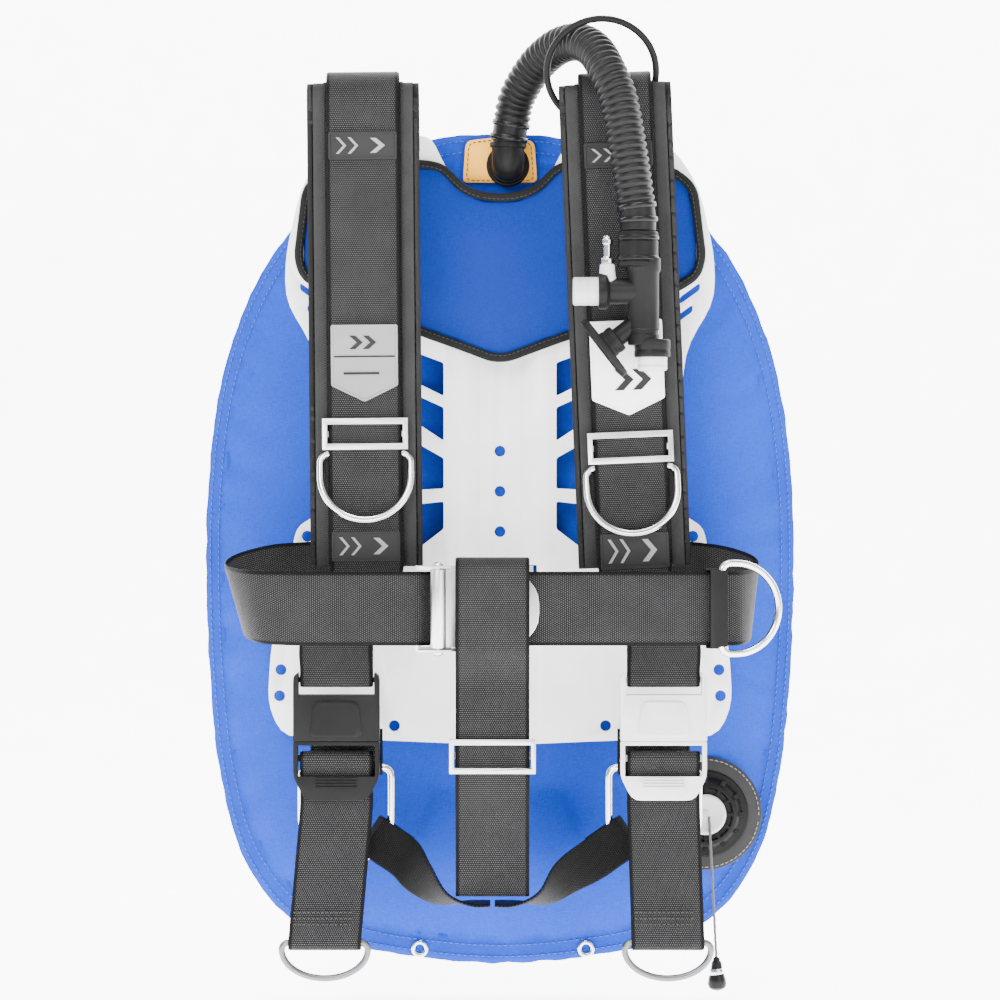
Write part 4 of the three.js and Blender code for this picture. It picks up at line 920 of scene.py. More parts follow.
def roundedOutline(corners, count=240, usual=4):
    # A closed outline in X and Z with each corner rounded by its own radius, all in millimetres.
    stops = []
    for i, corner in enumerate(corners):
        here, radius = Vector(corner[:2]), corner[2] if len(corner) > 2 else usual
        before, after = Vector(corners[i - 1][:2]) - here, Vector(corners[(i + 1) % len(corners)][:2]) - here
        reach = min(radius, before.length * 0.45, after.length * 0.45)
        a, b = here + before.normalized() * reach, here + after.normalized() * reach
        stops += [a * (1 - t) ** 2 + here * 2 * t * (1 - t) + b * t * t for t in (0, 0.2, 0.4, 0.6, 0.8, 1)]
    total = sum((b - a).length for a, b in zip(stops, stops[1:] + stops[:1]))
    step, even, k, gone = total / count, [], 0, 0.0
    loop = stops + stops[:1]
    for n in range(count):
        while gone + (loop[k + 1] - loop[k]).length < n * step:
            gone += (loop[k + 1] - loop[k]).length
            k += 1
        even.append(loop[k].lerp(loop[k + 1], (n * step - gone) / max((loop[k + 1] - loop[k]).length, 1e-9))
                    * 0.001)
    return even


def inwardOf(outline):
    # The direction in X and Z that leads inward at each point of a closed outline.
    area = sum(a.x * b.y - b.x * a.y for a, b in zip(outline, outline[1:] + outline[:1]))
    sign = 1 if area > 0 else -1
    ahead = [(outline[(i + 1) % len(outline)] - outline[i - 1]).normalized() for i in range(len(outline))]
    return [Vector((-along.y, along.x)) * sign for along in ahead]


padLook = {
    "half": [(0, 162, 16), (22, 166, 16), (38, 183, 10), (52, 186, 8), (118, 182, 12), (136, 168, 14),
             (142, 118, 10),
             (138, 104, 8), (126, 96, 8), (60, 66, 10), (26, 54, 20), (0, 44, 30)],
    "thick": 0.008, "gap": 0.0003, "binding": 0.0055, "voxel": 0.0045, "crown": 0.0032, "forCrown": 0.0035,
    "stitchIn": 0.0042, "pressure": 4.0, "cap": 0.005,
}


def makeBackPad():
    look = padLook
    half = look["half"]
    whole = half + [(-x, z, r) for x, z, r in reversed(half) if x > 0]
    outline = roundedOutline(whole, 420)
    inwards = inwardOf(outline)
    inset = [p + inward * (look["binding"] * 0.5) for p, inward in zip(outline, inwards)]
    edit = bmesh.new()
    loop = [edit.verts.new((p.x, 0, p.y)) for p in inset]
    edges = [edit.edges.new((a, b)) for a, b in zip(loop, loop[1:] + loop[:1])]
    bmesh.ops.triangle_fill(edit, edges=edges, use_beauty=True)
    back = bmesh.ops.extrude_face_region(edit, geom=edit.faces[:])
    for v in back["geom"]:
        if isinstance(v, bmesh.types.BMVert):
            v.co.y += look["thick"] - look["forCrown"]
    bmesh.ops.recalc_face_normals(edit, faces=edit.faces)
    mesh = bpy.data.meshes.new("back_cushion")
    edit.to_mesh(mesh)
    edit.free()
    mesh.materials.append(bluePadCloth.material)
    pad = bpy.data.objects.new("back_cushion", mesh)
    bpy.context.collection.objects.link(pad)
    remesh = pad.modifiers.new("remesh", "REMESH")
    remesh.mode = "VOXEL"
    remesh.voxel_size = look["voxel"]
    applyModifiers(pad)
    tree = kdtree.KDTree(len(inset))
    for i, p in enumerate(inset):
        tree.insert((p.x, 0, p.y), i)
    tree.balance()

    def fromOutline(co):
        return tree.find((co.x, 0, co.z))[2]
    edgeRows = [v.index for v in pad.data.vertices if fromOutline(v.co) < 0.005]
    settle(pad, edgeRows, look["pressure"], cap=look["cap"])
    applyModifiers(subdivided(pad, 1))
    thick = look["thick"] - look["forCrown"]
    for v in pad.data.vertices:
        fromEdge = fromOutline(v.co)
        crown = look["crown"] * smooth(fromEdge / 0.03) + noise.noise(v.co
                                                                      * 26) * 0.0007 * smooth(fromEdge / 0.01)
        front = max(0.0, min(1.0, 1 - v.co.y / thick))
        base = plateFront(v.co.x) - look["gap"]
        foot = base - look["thick"] + look["crown"]
        if front > 0.35:
            v.co.y = foot - crown * front + min(max(v.co.y, -0.006), thick) * 0.98
        else:
            v.co.y = min(base, foot + v.co.y)
    for face in pad.data.polygons:
        face.use_smooth = True
    pad.data.materials.clear()
    pad.data.materials.append(bluePadCloth.material)
    place(pad, "vest", "back_pad", slot="pad_cloth")
    # The binding: a folded tape over the pad's whole edge.
    rings = []
    for p, inward in zip(outline, inwards):
        base = plateFront(p.x) - look["gap"]
        rings.append([Vector((p.x + inward.x * a, base - look["thick"] + 0.0010 + b, p.y + inward.y * a))
                      for a, b in (
            (0.0060, 0.0006), (0.0056, -0.0006), (0.0030, -0.0010), (0.0008, -0.0002), (0.0, 0.0012),
                                   (0.0, 0.0052),
            (0.0010, 0.0068), (0.0056, 0.0068))])
    points, faces = skin(rings, closedAlong=True)
    place(makeMesh("back_cushion_binding", points, faces, blackTape), "vest", slot="webbing")
    row = []
    for p, inward in zip(outline + outline[:1], inwards + inwards[:1]):
        base = plateFront(p.x) - look["gap"] - look["thick"] + 0.0001
        row.append(Vector((p.x + inward.x * look["stitchIn"], base, p.y + inward.y * look["stitchIn"])))
    stitches("back_cushion_stitches", row, (0, -1, 0), "vest", thread, length=0.0022, space=0.0032,
             thick=0.0003)


makeBackPad()
place(cadCopy("backplate", whiteCoat, 0.0009), "vest", "backplate", slot="painted_plate")
print("plate and back pad made")


# Shoulder pads, their tape and badges.

shoulderLook = {"width": 0.068, "thick": 0.0088, "behind": 11, "bottom": -94, "tape": 0.0085, "top": 223,
                "rearEnd": 188,
                "sections": 190, "sides": 36, "pressure": 2.5, "cap": 0.0008, "stiffness": 15}


def flatStrip(name, side, stops, offset, width, thick, finish, body="vest", slot="webbing"):
    # A strip that lies along the strap at an offset across it; its stops are (y, z) in millimetres.
    return webbing(name, [(*leaning(side, offset, y, z), *leanSide(side)) for y, z in stops], body,
                   width=width,
                   thick=thick, finish=finish, slot=slot, step=0.0022)


def padStops(outward):
    # The pad's middle line moved outward by some millimetres.
    # It runs up the front, over the fold and a little down behind.
    run, behind = strapLook["run"], shoulderLook["behind"]
    fold = strapLook["fold"]
    y, radius = run + behind, fold - behind
    return [(y - outward, shoulderLook["bottom"]), (y - outward, -40), (y - outward, 60), (y - outward, 160),
            (y - outward, 209), *arcStops(run + fold, shoulderLook["top"], radius + outward, 0, -180, 7),
            (y + 2 * radius + outward, 205), (y + 2 * radius + outward, shoulderLook["rearEnd"])]


def makePad(side):
    look = shoulderLook
    stops = [(*leaning(side, 0, y, z), *leanSide(side)) for y, z in padStops(0)]
    sections, sides = look["sections"], look["sides"]
    path = spline(mm(stops), sections)
    rings = []
    half = look["width"] / 2 - 0.001
    for i, stop in enumerate(path):
        here, across = Vector(stop[:3]), Vector(stop[3:6]).normalized()
        along = (Vector(path[min(i + 1, sections - 1)][:3]) - Vector(path[max(i - 1, 0)][:3])).normalized()
        normal = along.cross(across).normalized()
        ends = smooth(min(i, sections - 1 - i) / 5) * 0.35 + 0.65
        ring = []
        for k in range(sides):
            turn = 2 * math.pi * k / sides
            c, s = math.cos(turn), math.sin(turn)
            wide = math.copysign(abs(c) ** 0.32, c) * half
            tall = math.copysign(abs(s) ** 0.75, s) * look["thick"] / 2 * ends
            soft = 1 + 0.05 * noise.noise(Vector((wide * 60, i * 0.12, s)))
            ring.append(here + across * wide + normal * tall * soft)
        rings.append(ring)
    pad = makeMesh("shoulder_cushion_" + side, *skin(rings), padMesh)
    ends = [v.index for v in pad.data.vertices
            if v.index < 2 * sides or v.index >= (sections - 2) * sides]
    edges = [v.index for v in pad.data.vertices if v.index % sides in (0, 1, 17, 18, 19, 35)]
    settle(pad, sorted(set(ends + edges)), look["pressure"], frames=12, cap=look["cap"],
           stiffness=look["stiffness"])
    place(pad, "vest", "shoulder_pad_" + side, slot="mesh_padding")
    reach = look["width"] / 2 * 1000
    for word, s in (("inner", 1 if side == "left" else -1), ("outer", -1 if side == "left" else 1)):
        name = "pad_tape_" + word + "_" + side
        flatStrip(name, side, padStops(4.2), s * (reach - 4.4), look["tape"], 0.0012, tape)
        flatStrip(name + "_edge", side, padStops(0), s * (reach + 0.1), 0.0022, 0.0088, tape)
        zigzag = []
        front = spline([(*leaning(side, 0, y, z), 0) for y, z in padStops(4.95)[:-2]], 420)
        for k, p in enumerate(front):
            shift = s * (reach - 8.2 + (0.9 if k % 2 else -0.9))
            turn = math.radians(strapLook[side]["lean"])
            zigzag.append(Vector((p[0] + shift * math.cos(turn), p[1], p[2] - shift * math.sin(turn)))
                          * 0.001)
        ring = tubeRings(zigzag, 0.00042, 5)
        place(makeMesh(name + "_zigzag", *skin(ring), thread), "vest", slot="webbing")


for side in ("left", "right"):
    makePad(side)
print("shoulder pads made")


def reliefPlate(name, outline, spot, thick, finish, side, rim=0.0014, rise=0.0005):
    # A thin moulded badge with a raised border, on the strap. The outline is in metres about its own middle.
    rows, inwards = [], inwardOf(outline)
    for inset, depth in ((0, 0), (0, -thick), (0.0003, -thick - rise), (rim, -thick - rise),
                         (rim + 0.0004, -thick)):
        rows.append([Vector((p.x + n.x * inset, depth, p.y + n.y * inset)) for p, n in zip(outline, inwards)])
    points, faces = skin(rows)
    points = [Vector(spot) + Vector(leant(strapLook[side]["lean"], *p)) for p in points]
    return place(makeMesh(name, points, faces, finish, smooth=False), "vest", slot="soft_rubber")


def bars(name, side, spot, shapes, finish):
    # Small raised bars and chevrons on a badge; each shape is a closed outline in millimetres.
    points, faces = [], []
    for shape in shapes:
        base, n = len(points), len(shape)
        for depth in (0.0003, -0.0004):
            for x, z in shape:
                turned = leant(strapLook[side]["lean"], x * 0.001, depth, z * 0.001)
                points.append(Vector(spot) + Vector(turned))
        faces += [tuple(base + k for k in range(n)), tuple(base + n + k for k in range(n))]
        faces += [(base + k, base + (k + 1) % n, base + n + (k + 1) % n, base + n + k) for k in range(n)]
    return place(makeMesh(name, points, faces, finish, smooth=False), "vest", slot="soft_rubber")


def chevron(x, z, wide, tall, arm):
    return [(x, z + tall / 2), (x + arm, z + tall / 2), (x + arm + wide, z), (x + arm, z - tall / 2),
            (x, z - tall / 2),
            (x + wide, z)]


darkBadge = moulded("dark_badge_rubber", (0.007, 0.007, 0.007), 0.6, Specular_IOR_Level=0.2)
badgeFace = -0.1012
for side, shield, small in (("left", (43, 45, 52), ((189.5, 19), (-80, 20))),
                            ("right", (40, 49, 64), ((183.5, 17), (-83, 24)))):
    z, wide, tall = shield
    x, _, up = leaning(side, 0, 0, z)
    corners = [(-wide / 2, tall / 2, 1), (wide / 2, tall / 2, 1), (wide / 2, -tall / 2 + 11, 1),
               (0, -tall / 2, 1),
               (-wide / 2, -tall / 2 + 11, 1)]
    spot = (x * 0.001, badgeFace - 0.0003, up * 0.001)
    body = reliefPlate("shield_" + side, roundedOutline(corners, 160), spot, 0.0013,
                       badgeRubber if side == "left"
                       else whiteRubber, side)
    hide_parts("badge_" + side)
    spot = (spot[0], badgeFace - 0.0017, spot[2])
    if side == "left":
        bars("shield_rule_" + side, side, spot,
             [[(-wide / 2 + 2, 5), (wide / 2 - 2, 5), (wide / 2 - 2, 4), (-wide / 2 + 2, 4)],
                                                 chevron(-10, 14, 5, 9, 4), chevron(-1, 14, 5, 9, 4),
                                                 [(-14, -6), (10, -6), (10, -7.6), (-14, -7.6)]], darkBadge)
    else:
        bars("shield_mark_" + side, side, spot, [chevron(-9, -8, 7, 14, 6), chevron(3, -8, 7, 14, 6)],
             darkBadge)
    for k, (z, tall) in enumerate(small):
        x, _, up = leaning(side, 0, 0, z)
        corners = [(-23, tall / 2, 1), (23, tall / 2, 1), (23, -tall / 2, 1), (-23, -tall / 2, 1)]
        spot = (x * 0.001, badgeFace, up * 0.001)
        name = ("upper" if k == 0 else "lower") + "_label_" + side
        reliefPlate(name, roundedOutline(corners, 120), spot, 0.0008, darkBadge, side)
        marks = [chevron(-18, 0, 5, tall - 8, 2), chevron(-10, 0, 5, tall - 8, 2),
                 chevron(5, 0, 6, tall - 9, 4)]
        bars(name + "_marks", side, (spot[0], badgeFace - 0.0009, spot[2]), marks, badgeRubber)
print("badges made")


# Rings, slides and buckles.

def dPath(width, height, corner):
    # A D ring's middle line from its straight bar at height 0 down round its bow, in millimetres.
    half = width / 2
    bow = min(half, height - corner)

    def arc(x, z, rx, rz, start, end, count):
        return [(x + rx * math.cos(start + (end - start) * i / count),
                 z + rz * math.sin(start + (end - start) * i / count))
                for i in range(count + 1)]
    path = (arc(half - corner, -corner, corner, corner, math.pi / 2, 0, 8)
            + arc(0, -height + bow, half, bow, 0, -math.pi, 60)
            + arc(-half + corner, -corner, corner, corner, math.pi, math.pi / 2, 8))
    kept = [p for i, p in enumerate(path) if math.dist(p, path[i - 1]) > 0.05]
    return [tuple(p) for p in spline([(x, 0, z) for x, z in kept], 160, closed=True)]


def dRing(name, node, body, width, height, corner, radius, finish, spot, tilt=0, lean=0, turn=None):
    slot = "dark_steel" if finish is darkSteel else "steel"
    points = []
    for x, y, z in dPath(width, height, corner):
        a = math.radians(-tilt)
        y, z = y * math.cos(a) - z * math.sin(a), y * math.sin(a) + z * math.cos(a)
        if turn is None:
            x, y, z = leant(lean, x, y, z)
        else:  # the bar upright and the bow outward
            x, z = -z, x
            x, y = x * math.cos(turn) - y * math.sin(turn), x * math.sin(turn) + y * math.cos(turn)
        points.append(((x + spot[0]) * 0.001, (y + spot[1]) * 0.001, (z + spot[2]) * 0.001))
    place(bentBar(name, points, radius, finish), body, node, slot=slot)


for side, hingeZ in (("left", -17.8), ("right", -26.85)):
    x, _, z = leaning(side, 0, 0, hingeZ)
    dRing("chest_ring_" + side, "chest_d_ring_" + side, "chest_ring_" + side + "_body", 60.8, 46, 6, 0.0024,
          steel,
          (x, -96.0, hingeZ), tilt=15, lean=strapLook[side]["lean"])
    s = -1 if side == "left" else 1
    dRing("hip_ring_" + side, "hip_d_ring_" + side, "hip_" + side + "_body",
          *(hipRing[key] for key in ("width", "height", "corner", "rod")), steel,
          (s * hipRing["x"], hipRing["y"], hipRing["z"]))
    dRing("tail_loop_" + side, "tail_ring_" + side, "tail_ring_" + side + "_body", 58, 24, 4.5, 0.0022,
          darkSteel,
          (strapLook[side]["hip"] + strapLook[side]["drift"], -99.6, -347))
    place(cadCopy("chest_slider_" + side, brushedSteel, 0.0007), "chest_slider_" + side + "_body",
          "chest_slider_" + side,
          slot="steel")
dRing("belt_ring", "waist_d_ring", "waist_ring_body", 60, 40, 6, 0.0024, steel,
      (146 + 3.8 * math.sin(ringTurn), -133 - 3.8 * math.cos(ringTurn), -121), turn=ringTurn)

for node, body, finish, bevel, slot in (
        ("crotch_slider", "crotch_slider_body", brushedSteel, 0.0007, "steel"),
        ("waist_buckle_frame", "vest", brushedSteel, 0.0005, "steel"),
        ("waist_buckle_lever", "buckle_lever_body", brushedSteel, 0.0005, "steel"),
        ("waist_ring_keeper", "vest", blackPlastic, 0.0004, "black_plastic"),
        ("cam_buckle_upper", "vest", brushedSteel, 0.0006, "steel"),
                                        ("cam_buckle_lower", "vest", brushedSteel, 0.0006, "steel"),
        ("cam_lever_upper", "cam_lever_upper_body", blackPlastic, 0.0009, "black_plastic"),
        ("cam_lever_lower", "cam_lever_lower_body", blackPlastic, 0.0009, "black_plastic"),
        ("wing_bolt_upper", "vest", darkSteel, 0.0006, "dark_steel"),
                                        ("wing_bolt_lower", "vest", darkSteel, 0.0006, "dark_steel"),
        ("tank_pad", "vest", softRubber, 0.0008, "soft_rubber")):
    place(cadCopy(node, finish, bevel), body, node, slot=slot)

for z, word in ((-0.0285, "lower"), (0.0285, "upper")):  # domed heads on the buckle's pin
    dome = [(0, 0.0036), (0.0008, 0.0035), (0.0016, 0.0029), (0.0022, 0.0016), (0.0024, 0.0002)]
    s = 1 if z > 0 else -1
    place(lathe("pin_head_" + word, dome, (-0.041, -0.148, -0.121 + z + s * 0.0002), (0, 0, s), steel),
          "vest", slot="steel")
print("metal parts made")


# Hip clips.

clipLook = {"face": -0.107, "ribs": 4}
silverPlastic = moulded("silver_grey_plastic", (0.50, 0.50, 0.51), 0.26, Specular_IOR_Level=0.6,
                        Coat_Weight=0.3)
for side in ("left", "right"):
    finish = blackPlastic if side == "left" else silverPlastic
    x, m = strapLook[side]["hip"], strapLook["mouth"]
    slot = "black_plastic" if side == "left" else "light_plastic"
    place(cadCopy("buckle_female_" + side, finish, 0.0011), "vest", "buckle_female_" + side, slot=slot)
    place(cadCopy("buckle_male_" + side, finish, 0.0009), "hip_" + side + "_body", "buckle_male_" + side,
          slot=slot)

    def clipFace(edit):
        # A raised panel with a rounded outline, narrower at the top; the ribs are made separately.
        shape = roundedOutline([(-18, 3, 4), (18, 3, 4), (15, 27, 5), (-15, 27, 5)], 90)
        rows = []
        for inset, depth in ((0, 0.0005), (0, -0.0007), (0.0012, -0.0013)):
            scale = 1 - inset / 0.016
            rows.append([edit.verts.new((x * 0.001 + p.x * scale, clipLook["face"] + depth,
                                         m * 0.001 + 0.015 + (p.y - 0.015) * scale))
                         for p in shape])
        for a, b in zip(rows, rows[1:]):
            for k in range(len(shape)):
                edit.faces.new((a[k], a[(k + 1) % len(shape)], b[(k + 1) % len(shape)], b[k]))
        edit.faces.new(rows[0])
        edit.faces.new(rows[-1])
    place(solidFrom("clip_panel_" + side, finish, clipFace, 0.0003, 2), "vest", slot=slot)

    def clipRibs(edit):
        for k in range(clipLook["ribs"]):
            z = (m - 3 - k * 2.0) * 0.001 - 0.022
            blockMesh(edit, (x * 0.001 - 0.014, -0.1062, z - 0.00045),
                      (x * 0.001 + 0.014, -0.1046, z + 0.00045))
    place(solidFrom("clip_ribs_" + side, finish, clipRibs, 0.0002, 2), "hip_" + side + "_body", slot=slot)
print("clips made")


# Port, elbow and its patch.

portLook = {"x": 0.0055, "z": 0.184, "face": -0.0127}


def makePort():
    look = portLook
    x, z = look["x"], look["z"]
    patch = roundedOutline([(-24, 201, 5), (-8, 203, 6), (8, 203, 6), (24, 201, 5), (26, 172, 4),
                            (-26, 172, 4)], 140)
    middle = Vector((0, 0.187))
    rows = [[Vector((middle.x + (p.x - middle.x) * k, y, middle.y + (p.y - middle.y) * k)) for p in patch]
            for k, y in ((1, -0.0118), (1, -0.0138), (0.97, -0.0145), (0.5, -0.0149), (0.2, -0.0149))]
    place(makeMesh("port_patch", *skin(rows), orangeCloth), "vest", slot="pad_cloth")
    row = [Vector((middle.x + (p.x - middle.x) * 0.9, -0.0147, middle.y + (p.y - middle.y) * 0.9))
           for p in patch + patch[:1]]
    stitches("port_patch_stitches", row, (0, -1, 0), "vest", thread, space=0.0035)
    flange = lathe("port_flange",
                   [(0, 0.0150), (0.0024, 0.0150), (0.0032, 0.0142), (0.0034, 0.0128), (0.0060, 0.0124)],
                   (x, look["face"] - 0.0004, z), (0, -1, 0), blackPlastic)
    place(flange, "vest", slot="black_plastic")
    path = spline([(x, look["face"], z), (x, -0.0225, z), (x, -0.0283, z + 0.002), (x, -0.0300, z + 0.008),
                   (x, -0.0300, z + 0.0146)], 26)
    elbow = makeMesh("port_elbow", *skin(tubeRings(path, 0.0112, 40)), blackPlastic)
    place(elbow, "vest", "hose_elbow", slot="black_plastic")
    collar = [(0, 0.0119), (0.0006, 0.0126), (0.0034, 0.0126), (0.0040, 0.0119)]
    place(lathe("port_collar", collar, (x, -0.030, z + 0.0105), (0.04, 0, 1), blackPlastic), "vest",
          slot="black_plastic")


makePort()

keeperLook = {"middle": (0.0687, -0.084, 0.241), "radius": 0.037, "rod": 0.0023, "tilt": 112}
ring = []
for k in range(120):
    turn, tilt = 2 * math.pi * k / 120, math.radians(keeperLook["tilt"])
    up = keeperLook["radius"] * math.sin(turn)
    ring.append(Vector(keeperLook["middle"])
                + Vector((keeperLook["radius"] * math.cos(turn), up * math.cos(tilt),
                                                       up * math.sin(tilt))))
place(bentBar("hose_retaining_ring", ring, keeperLook["rod"], softRubber), "vest", "hose_keeper_ring",
      slot="black_plastic")


# Inflator.

inflatorLook = {"x": 0.0955, "y": -0.126, "branch": 0.090, "cuffX": 0.092, "chamberX": 0.1015,
                "spout": (-0.79, 0, -0.61)}


def makeInflator():
    look = inflatorLook
    x, y, z = look["x"], look["y"], look["branch"]

    def part(name, profile, start, axis, finish=blackPlastic, *nodes, body="vest", slot="black_plastic"):
        mmProfile = [(a * 0.001, r * 0.001) for a, r in profile]
        return place(lathe("inflator_" + name, mmProfile, start, axis, finish), body, *nodes, slot=slot)
    part("tube",
         [(0, 9.6), (0.6, 10.4), (7, 10.5), (7.6, 10.0), (10, 10.0), (10.6, 10.5), (48, 10.5), (50, 11.6),
          (58, 11.6)],
         (x, y, 0.054), (0, 0, 1), blackPlastic, "inflator_body")
    part("cuff",
         [(0, 11.2), (0.8, 13.2), (3.5, 13.4), (4.1, 12.9), (6, 12.9), (6.6, 13.4), (17, 13.4), (17.6, 12.9),
          (19.4, 12.9),
                  (20, 13.4), (23.4, 13.3), (24, 12.2)], (look["cuffX"], y, 0.106), (0, 0, 1))
    for name, height in (("tie_lower", 0.1105), ("tie_upper", 0.1240)):
        part(name, [(0, 13.4), (0.4, 14.0), (2.6, 14.0), (3, 13.4)], (look["cuffX"], y, height), (0, 0, 1),
             glossPlastic)
    part("branch", [(0, 8.2), (1, 8.5), (18, 8.5), (20, 9.4), (27, 9.6)], (x - 0.027, y, z), (1, 0, 0))
    part("button_seat", [(0, 10.2), (0.2, 11.8), (1.0, 12.1), (5.2, 12.1), (6.2, 11.2), (7.5, 9.0)],
         (0.0655, y, z), (1, 0, 0))
    part("cup", [(0, 6.8), (4, 6.3), (9.4, 6.0), (9.8, 5.6), (17.4, 5.0), (18, 4.6)], (0.0715, y, z),
         (0, 0, 1), greyPlastic,
         slot="light_plastic")
    part("nipple",
         [(0, 4.6), (3.2, 4.6), (3.8, 4.0), (4.6, 2.8), (13, 2.8), (13.2, 3.7), (16.2, 3.7), (16.6, 2.8),
          (18.2, 2.6),
                    (18.7, 2.2)], (0.0715, y, z + 0.0183), (0, 0, 1), steel, "inflator_nipple", slot="steel")
    part("chamber",
         [(0, 11.8), (0.6, 12.2), (4, 12.2), (4.5, 11.9), (5.4, 11.9), (5.9, 12.2), (11, 12.2), (12, 11.2)],
         (look["chamberX"], y, 0.046), (0, 0, 1))
    cap = [(0, 8.2), (0.5, 9.0), (1.4, 9.5), (5, 9.5), (5.5, 9.2), (6, 9.5), (10, 9.5), (10.5, 9.2),
           (11, 9.5), (17.8, 9.5)]
    part("inflate_button", cap, (0.0485, y, z), (1, 0, 0), greyPlastic, "inflate_button",
         body="inflate_button_body",
         slot="light_plastic")
    cap = [(0, 8.4), (0.5, 9.4), (1.4, 9.9), (3.6, 9.9), (4.1, 9.6), (4.6, 9.9), (10.5, 9.9)]
    part("exhaust_button", cap, (look["chamberX"], y, 0.037), (0, 0, 1), greyPlastic, "exhaust_button",
         body="exhaust_button_body", slot="light_plastic")
    spout = Vector(look["spout"]).normalized()
    foot = Vector((x, y, 0.0725))
    part("spout", [(0, 6.4), (22, 6.4), (22.4, 7.2), (23.6, 7.2), (24, 6.4), (27, 6.4)], foot, spout)
    part("mouth_neck", [(0, 8.6), (0.8, 9.3), (4, 9.4), (4.4, 9.0), (6, 9.0), (6.4, 9.4), (11.5, 9.6)],
         foot + spout * 0.0215,
         spout, softRubber, slot="soft_rubber")
    # The oval bite flange, with a rolled rim and an open middle.
    wide, rings = Vector((0.61, 0, -0.79)), []
    for k in range(72):
        turn = 2 * math.pi * k / 72
        out = wide * math.sin(turn) * 0.023 + Vector((0, math.cos(turn) * 0.013, 0))
        bore = (wide * math.sin(turn) * 1.5 + Vector((0, math.cos(turn), 0))) * 0.0062
        rings.append([foot + spout * (0.033 + h) + bore.lerp(out, r) for r, h in (
            (0, 0.0024), (0.15, 0.0012), (0.6, 0.0006), (0.86, 0.0016), (0.94, 0.0025), (1, 0.0018),
                                                                                  (1, -0.0016),
            (0.93, -0.0025), (0.4, -0.0024), (0, -0.0024))])
    points, faces = skin(rings, closedAlong=True)
    place(makeMesh("inflator_mouthpiece_flange", points, faces, softRubber), "vest", "inflator_mouthpiece",
          slot="soft_rubber")


makeInflator()
print("inflator made")


# Dump valve.

def makeDump():
    look = dumpLook
    x, z = look["x"], look["z"]
    outer = -0.02665
    patchRubber = moulded("valve_patch_rubber", (0.012, 0.012, 0.012), 0.5, Specular_IOR_Level=0.2)
    place(lathe("dump_patch", [(0, 0.0395), (0.0007, 0.0392), (0.0010, 0.0383), (0.0011, 0.029)],
                (x, outer + 0.0006, z),
                (0, -1, 0), patchRubber, sides=96), "vest", slot="soft_rubber")
    row = [Vector((x + 0.0372 * math.cos(t), outer - 0.0006, z + 0.0372 * math.sin(t)))
           for t in [2 * math.pi * k / 120 for k in range(121)]]
    stitches("dump_patch_stitches", row, (0, -1, 0), "vest", badgeRubber, space=0.0036)
    profile = [(0, 0.0300), (0.0018, 0.0300), (0.0026, 0.0292), (0.0028, 0.0262), (0.0032, 0.0252),
               (0.0094, 0.0222),
               (0.0104, 0.0210), (0.0106, 0.0188), (0.0090, 0.0180), (0.0088, 0.0146), (0.0104, 0.0140),
               (0.0106, 0.0)]
    body = lathe("dump_body", profile, (x, outer, z), (0, -1, 0), blackPlastic, sides=96)
    place(body, "vest", "dump_valve_body", slot="black_plastic")

    def ribs(edit):
        for k in range(12):
            turn = Matrix.Translation((x, 0, z)) @ Matrix.Rotation(2 * math.pi * k / 12, 4, "Y")
            blockMesh(edit, (0.0138, outer - 0.0105, -0.0011), (0.0190, outer - 0.0085, 0.0011), turn)
            blockMesh(edit, (0.0225, outer - 0.0092, -0.0016), (0.0262, outer - 0.0024, 0.0016), turn)
    place(solidFrom("dump_ribs", blackPlastic, ribs, 0.0003, 2), "vest", slot="black_plastic")
    disc = [(0, 0.0138), (0.0006, 0.0140), (0.0018, 0.0140), (0.0026, 0.0132), (0.0029, 0.0116),
            (0.0026, 0.0108),
            (0.0024, 0.0040), (0.0028, 0.0034), (0.0030, 0.0)]
    place(lathe("dump_disc", disc, (x, -0.03755, z), (0, -1, 0), greyPlastic, sides=72), "dump_pull_body",
          "dump_valve_disc",
          slot="light_plastic")


makeDump()
print("dump valve made")


# Tank bands.

bandLook = {"slotX": 20, "halfLoop": 94, "depth": 90, "crossing": -18.6, "width": 0.050, "thick": 0.0024}
for word, z in (("upper", 128), ("lower", -121)):
    slotX, halfLoop, depth, crossing = (bandLook[key] for key in ("slotX", "halfLoop", "depth", "crossing"))
    half = [(slotX - 12, crossing), (slotX - 6, crossing + 0.2), (slotX - 1, crossing + 3),
            (slotX + 1, crossing + 9),
            (slotX + 3, -0.3), (38, 13), (62, 20), (halfLoop - 5, 40), (halfLoop, 58), (halfLoop - 16, 79),
            (44, depth - 1)]
    loop = [(0, crossing), *half, (0, depth), *[(-x, y) for x, y in reversed(half)]]
    webbing("tank_webbing_" + word, [(x, y, z) for x, y in loop], "vest", ["tank_band_" + word],
            width=bandLook["width"],
            thick=bandLook["thick"], across=(0, 0, 1), closed=True)
print("tank bands made")


# Sewing on the straps.

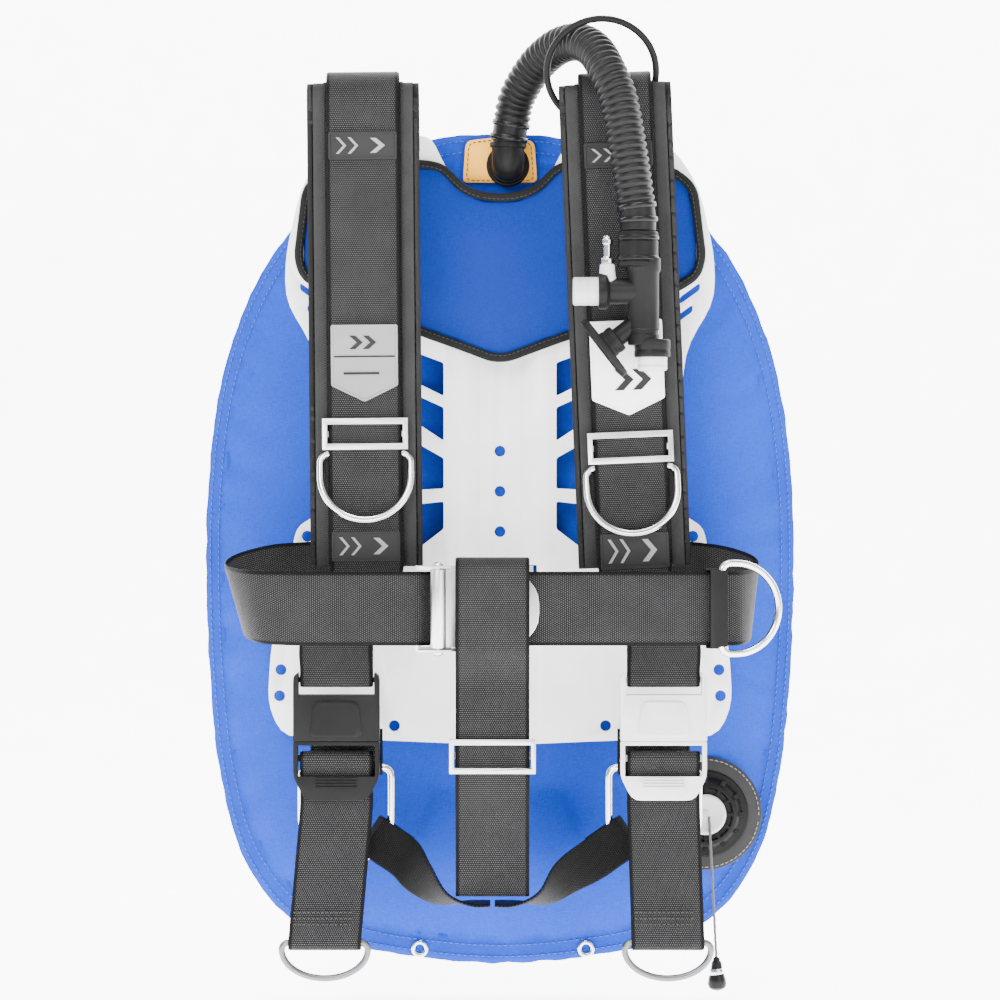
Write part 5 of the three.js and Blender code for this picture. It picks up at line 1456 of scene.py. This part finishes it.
def sewRows(name, rows, body, normal=(0, -1, 0)):
    for k, (start, end) in enumerate(rows):
        path = [[a * 0.001 + (b - a) * 0.001 * t / 12 for a, b in zip(start, end)] for t in range(13)]
        stitches(name + "_" + str(k + 1), path, normal, body, thread, length=0.0024, space=0.0031,
                 thick=0.00042)


for side in ("left", "right"):
    x = strapLook[side]["hip"] + strapLook[side]["drift"] * 0.86
    sewRows("tail_stitches_" + side, [((x - 21, -104.9, z), (x + 21, -104.9, z)) for z in (-326, -330, -334)],
            "hip_" + side + "_body")


# Floor, lights and the closing lines.

stageLook = {"key": (-0.9, -2.2, 1.3, 76, 1.0), "fill": (1.4, -1.9, 0.5, 30, 1.5),
             "top": (0, -0.5, 2.0, 54, 1.1),
             "back": (0.5, 1.5, 1.4, 14, 1.2), "world": 0.8, "glow": 6.0}


def addLight(name, x, y, z, power, size):
    data = bpy.data.lights.new(name, "AREA")
    data.energy = power
    data.size = size
    thing = bpy.data.objects.new(name, data)
    thing.location = (x, y, z)
    thing.rotation_euler = (Vector((0, -0.05, -0.05)) - Vector((x, y, z))).to_track_quat("-Z", "Y").to_euler()
    bpy.context.collection.objects.link(thing)


for name in ("key", "fill", "top", "back"):
    addLight(name + "_light", *stageLook[name])

world = bpy.data.worlds.new("studio")
bpy.context.scene.world = world
world.use_nodes = True
world.node_tree.nodes["Background"].inputs["Color"].default_value = (1, 1, 1, 1)
world.node_tree.nodes["Background"].inputs["Strength"].default_value = stageLook["world"]

# A pale sweep: floor in front, curving up behind the vest.
sweepFinish = moulded("pale_floor", (0.90, 0.90, 0.90), 0.85)
sweepFinish.shader.inputs["Emission Color"].default_value = (1, 1, 1, 1)
sweepFinish.shader.inputs["Emission Strength"].default_value = stageLook["glow"]
low = min(corner[2] for corner in cadSize) - 0.004
profile = [(-5, low), (-2.2, low), (0.6, low)] + [(0.6 + 1.2 * math.sin(a), low + 1.2 - 1.2 * math.cos(a))
                                                 for a in [math.pi / 2 * i / 12
                                                           for i in range(1, 13)]] + [(1.8, 5)]
points = [(x, y, z) for y, z in profile for x in (-6, 6)]
faces = [(2 * i, 2 * i + 1, 2 * i + 3, 2 * i + 2) for i in range(len(profile) - 1)]
sweep = makeMesh("floor_sweep", points, faces, sweepFinish)

print("scene complete")
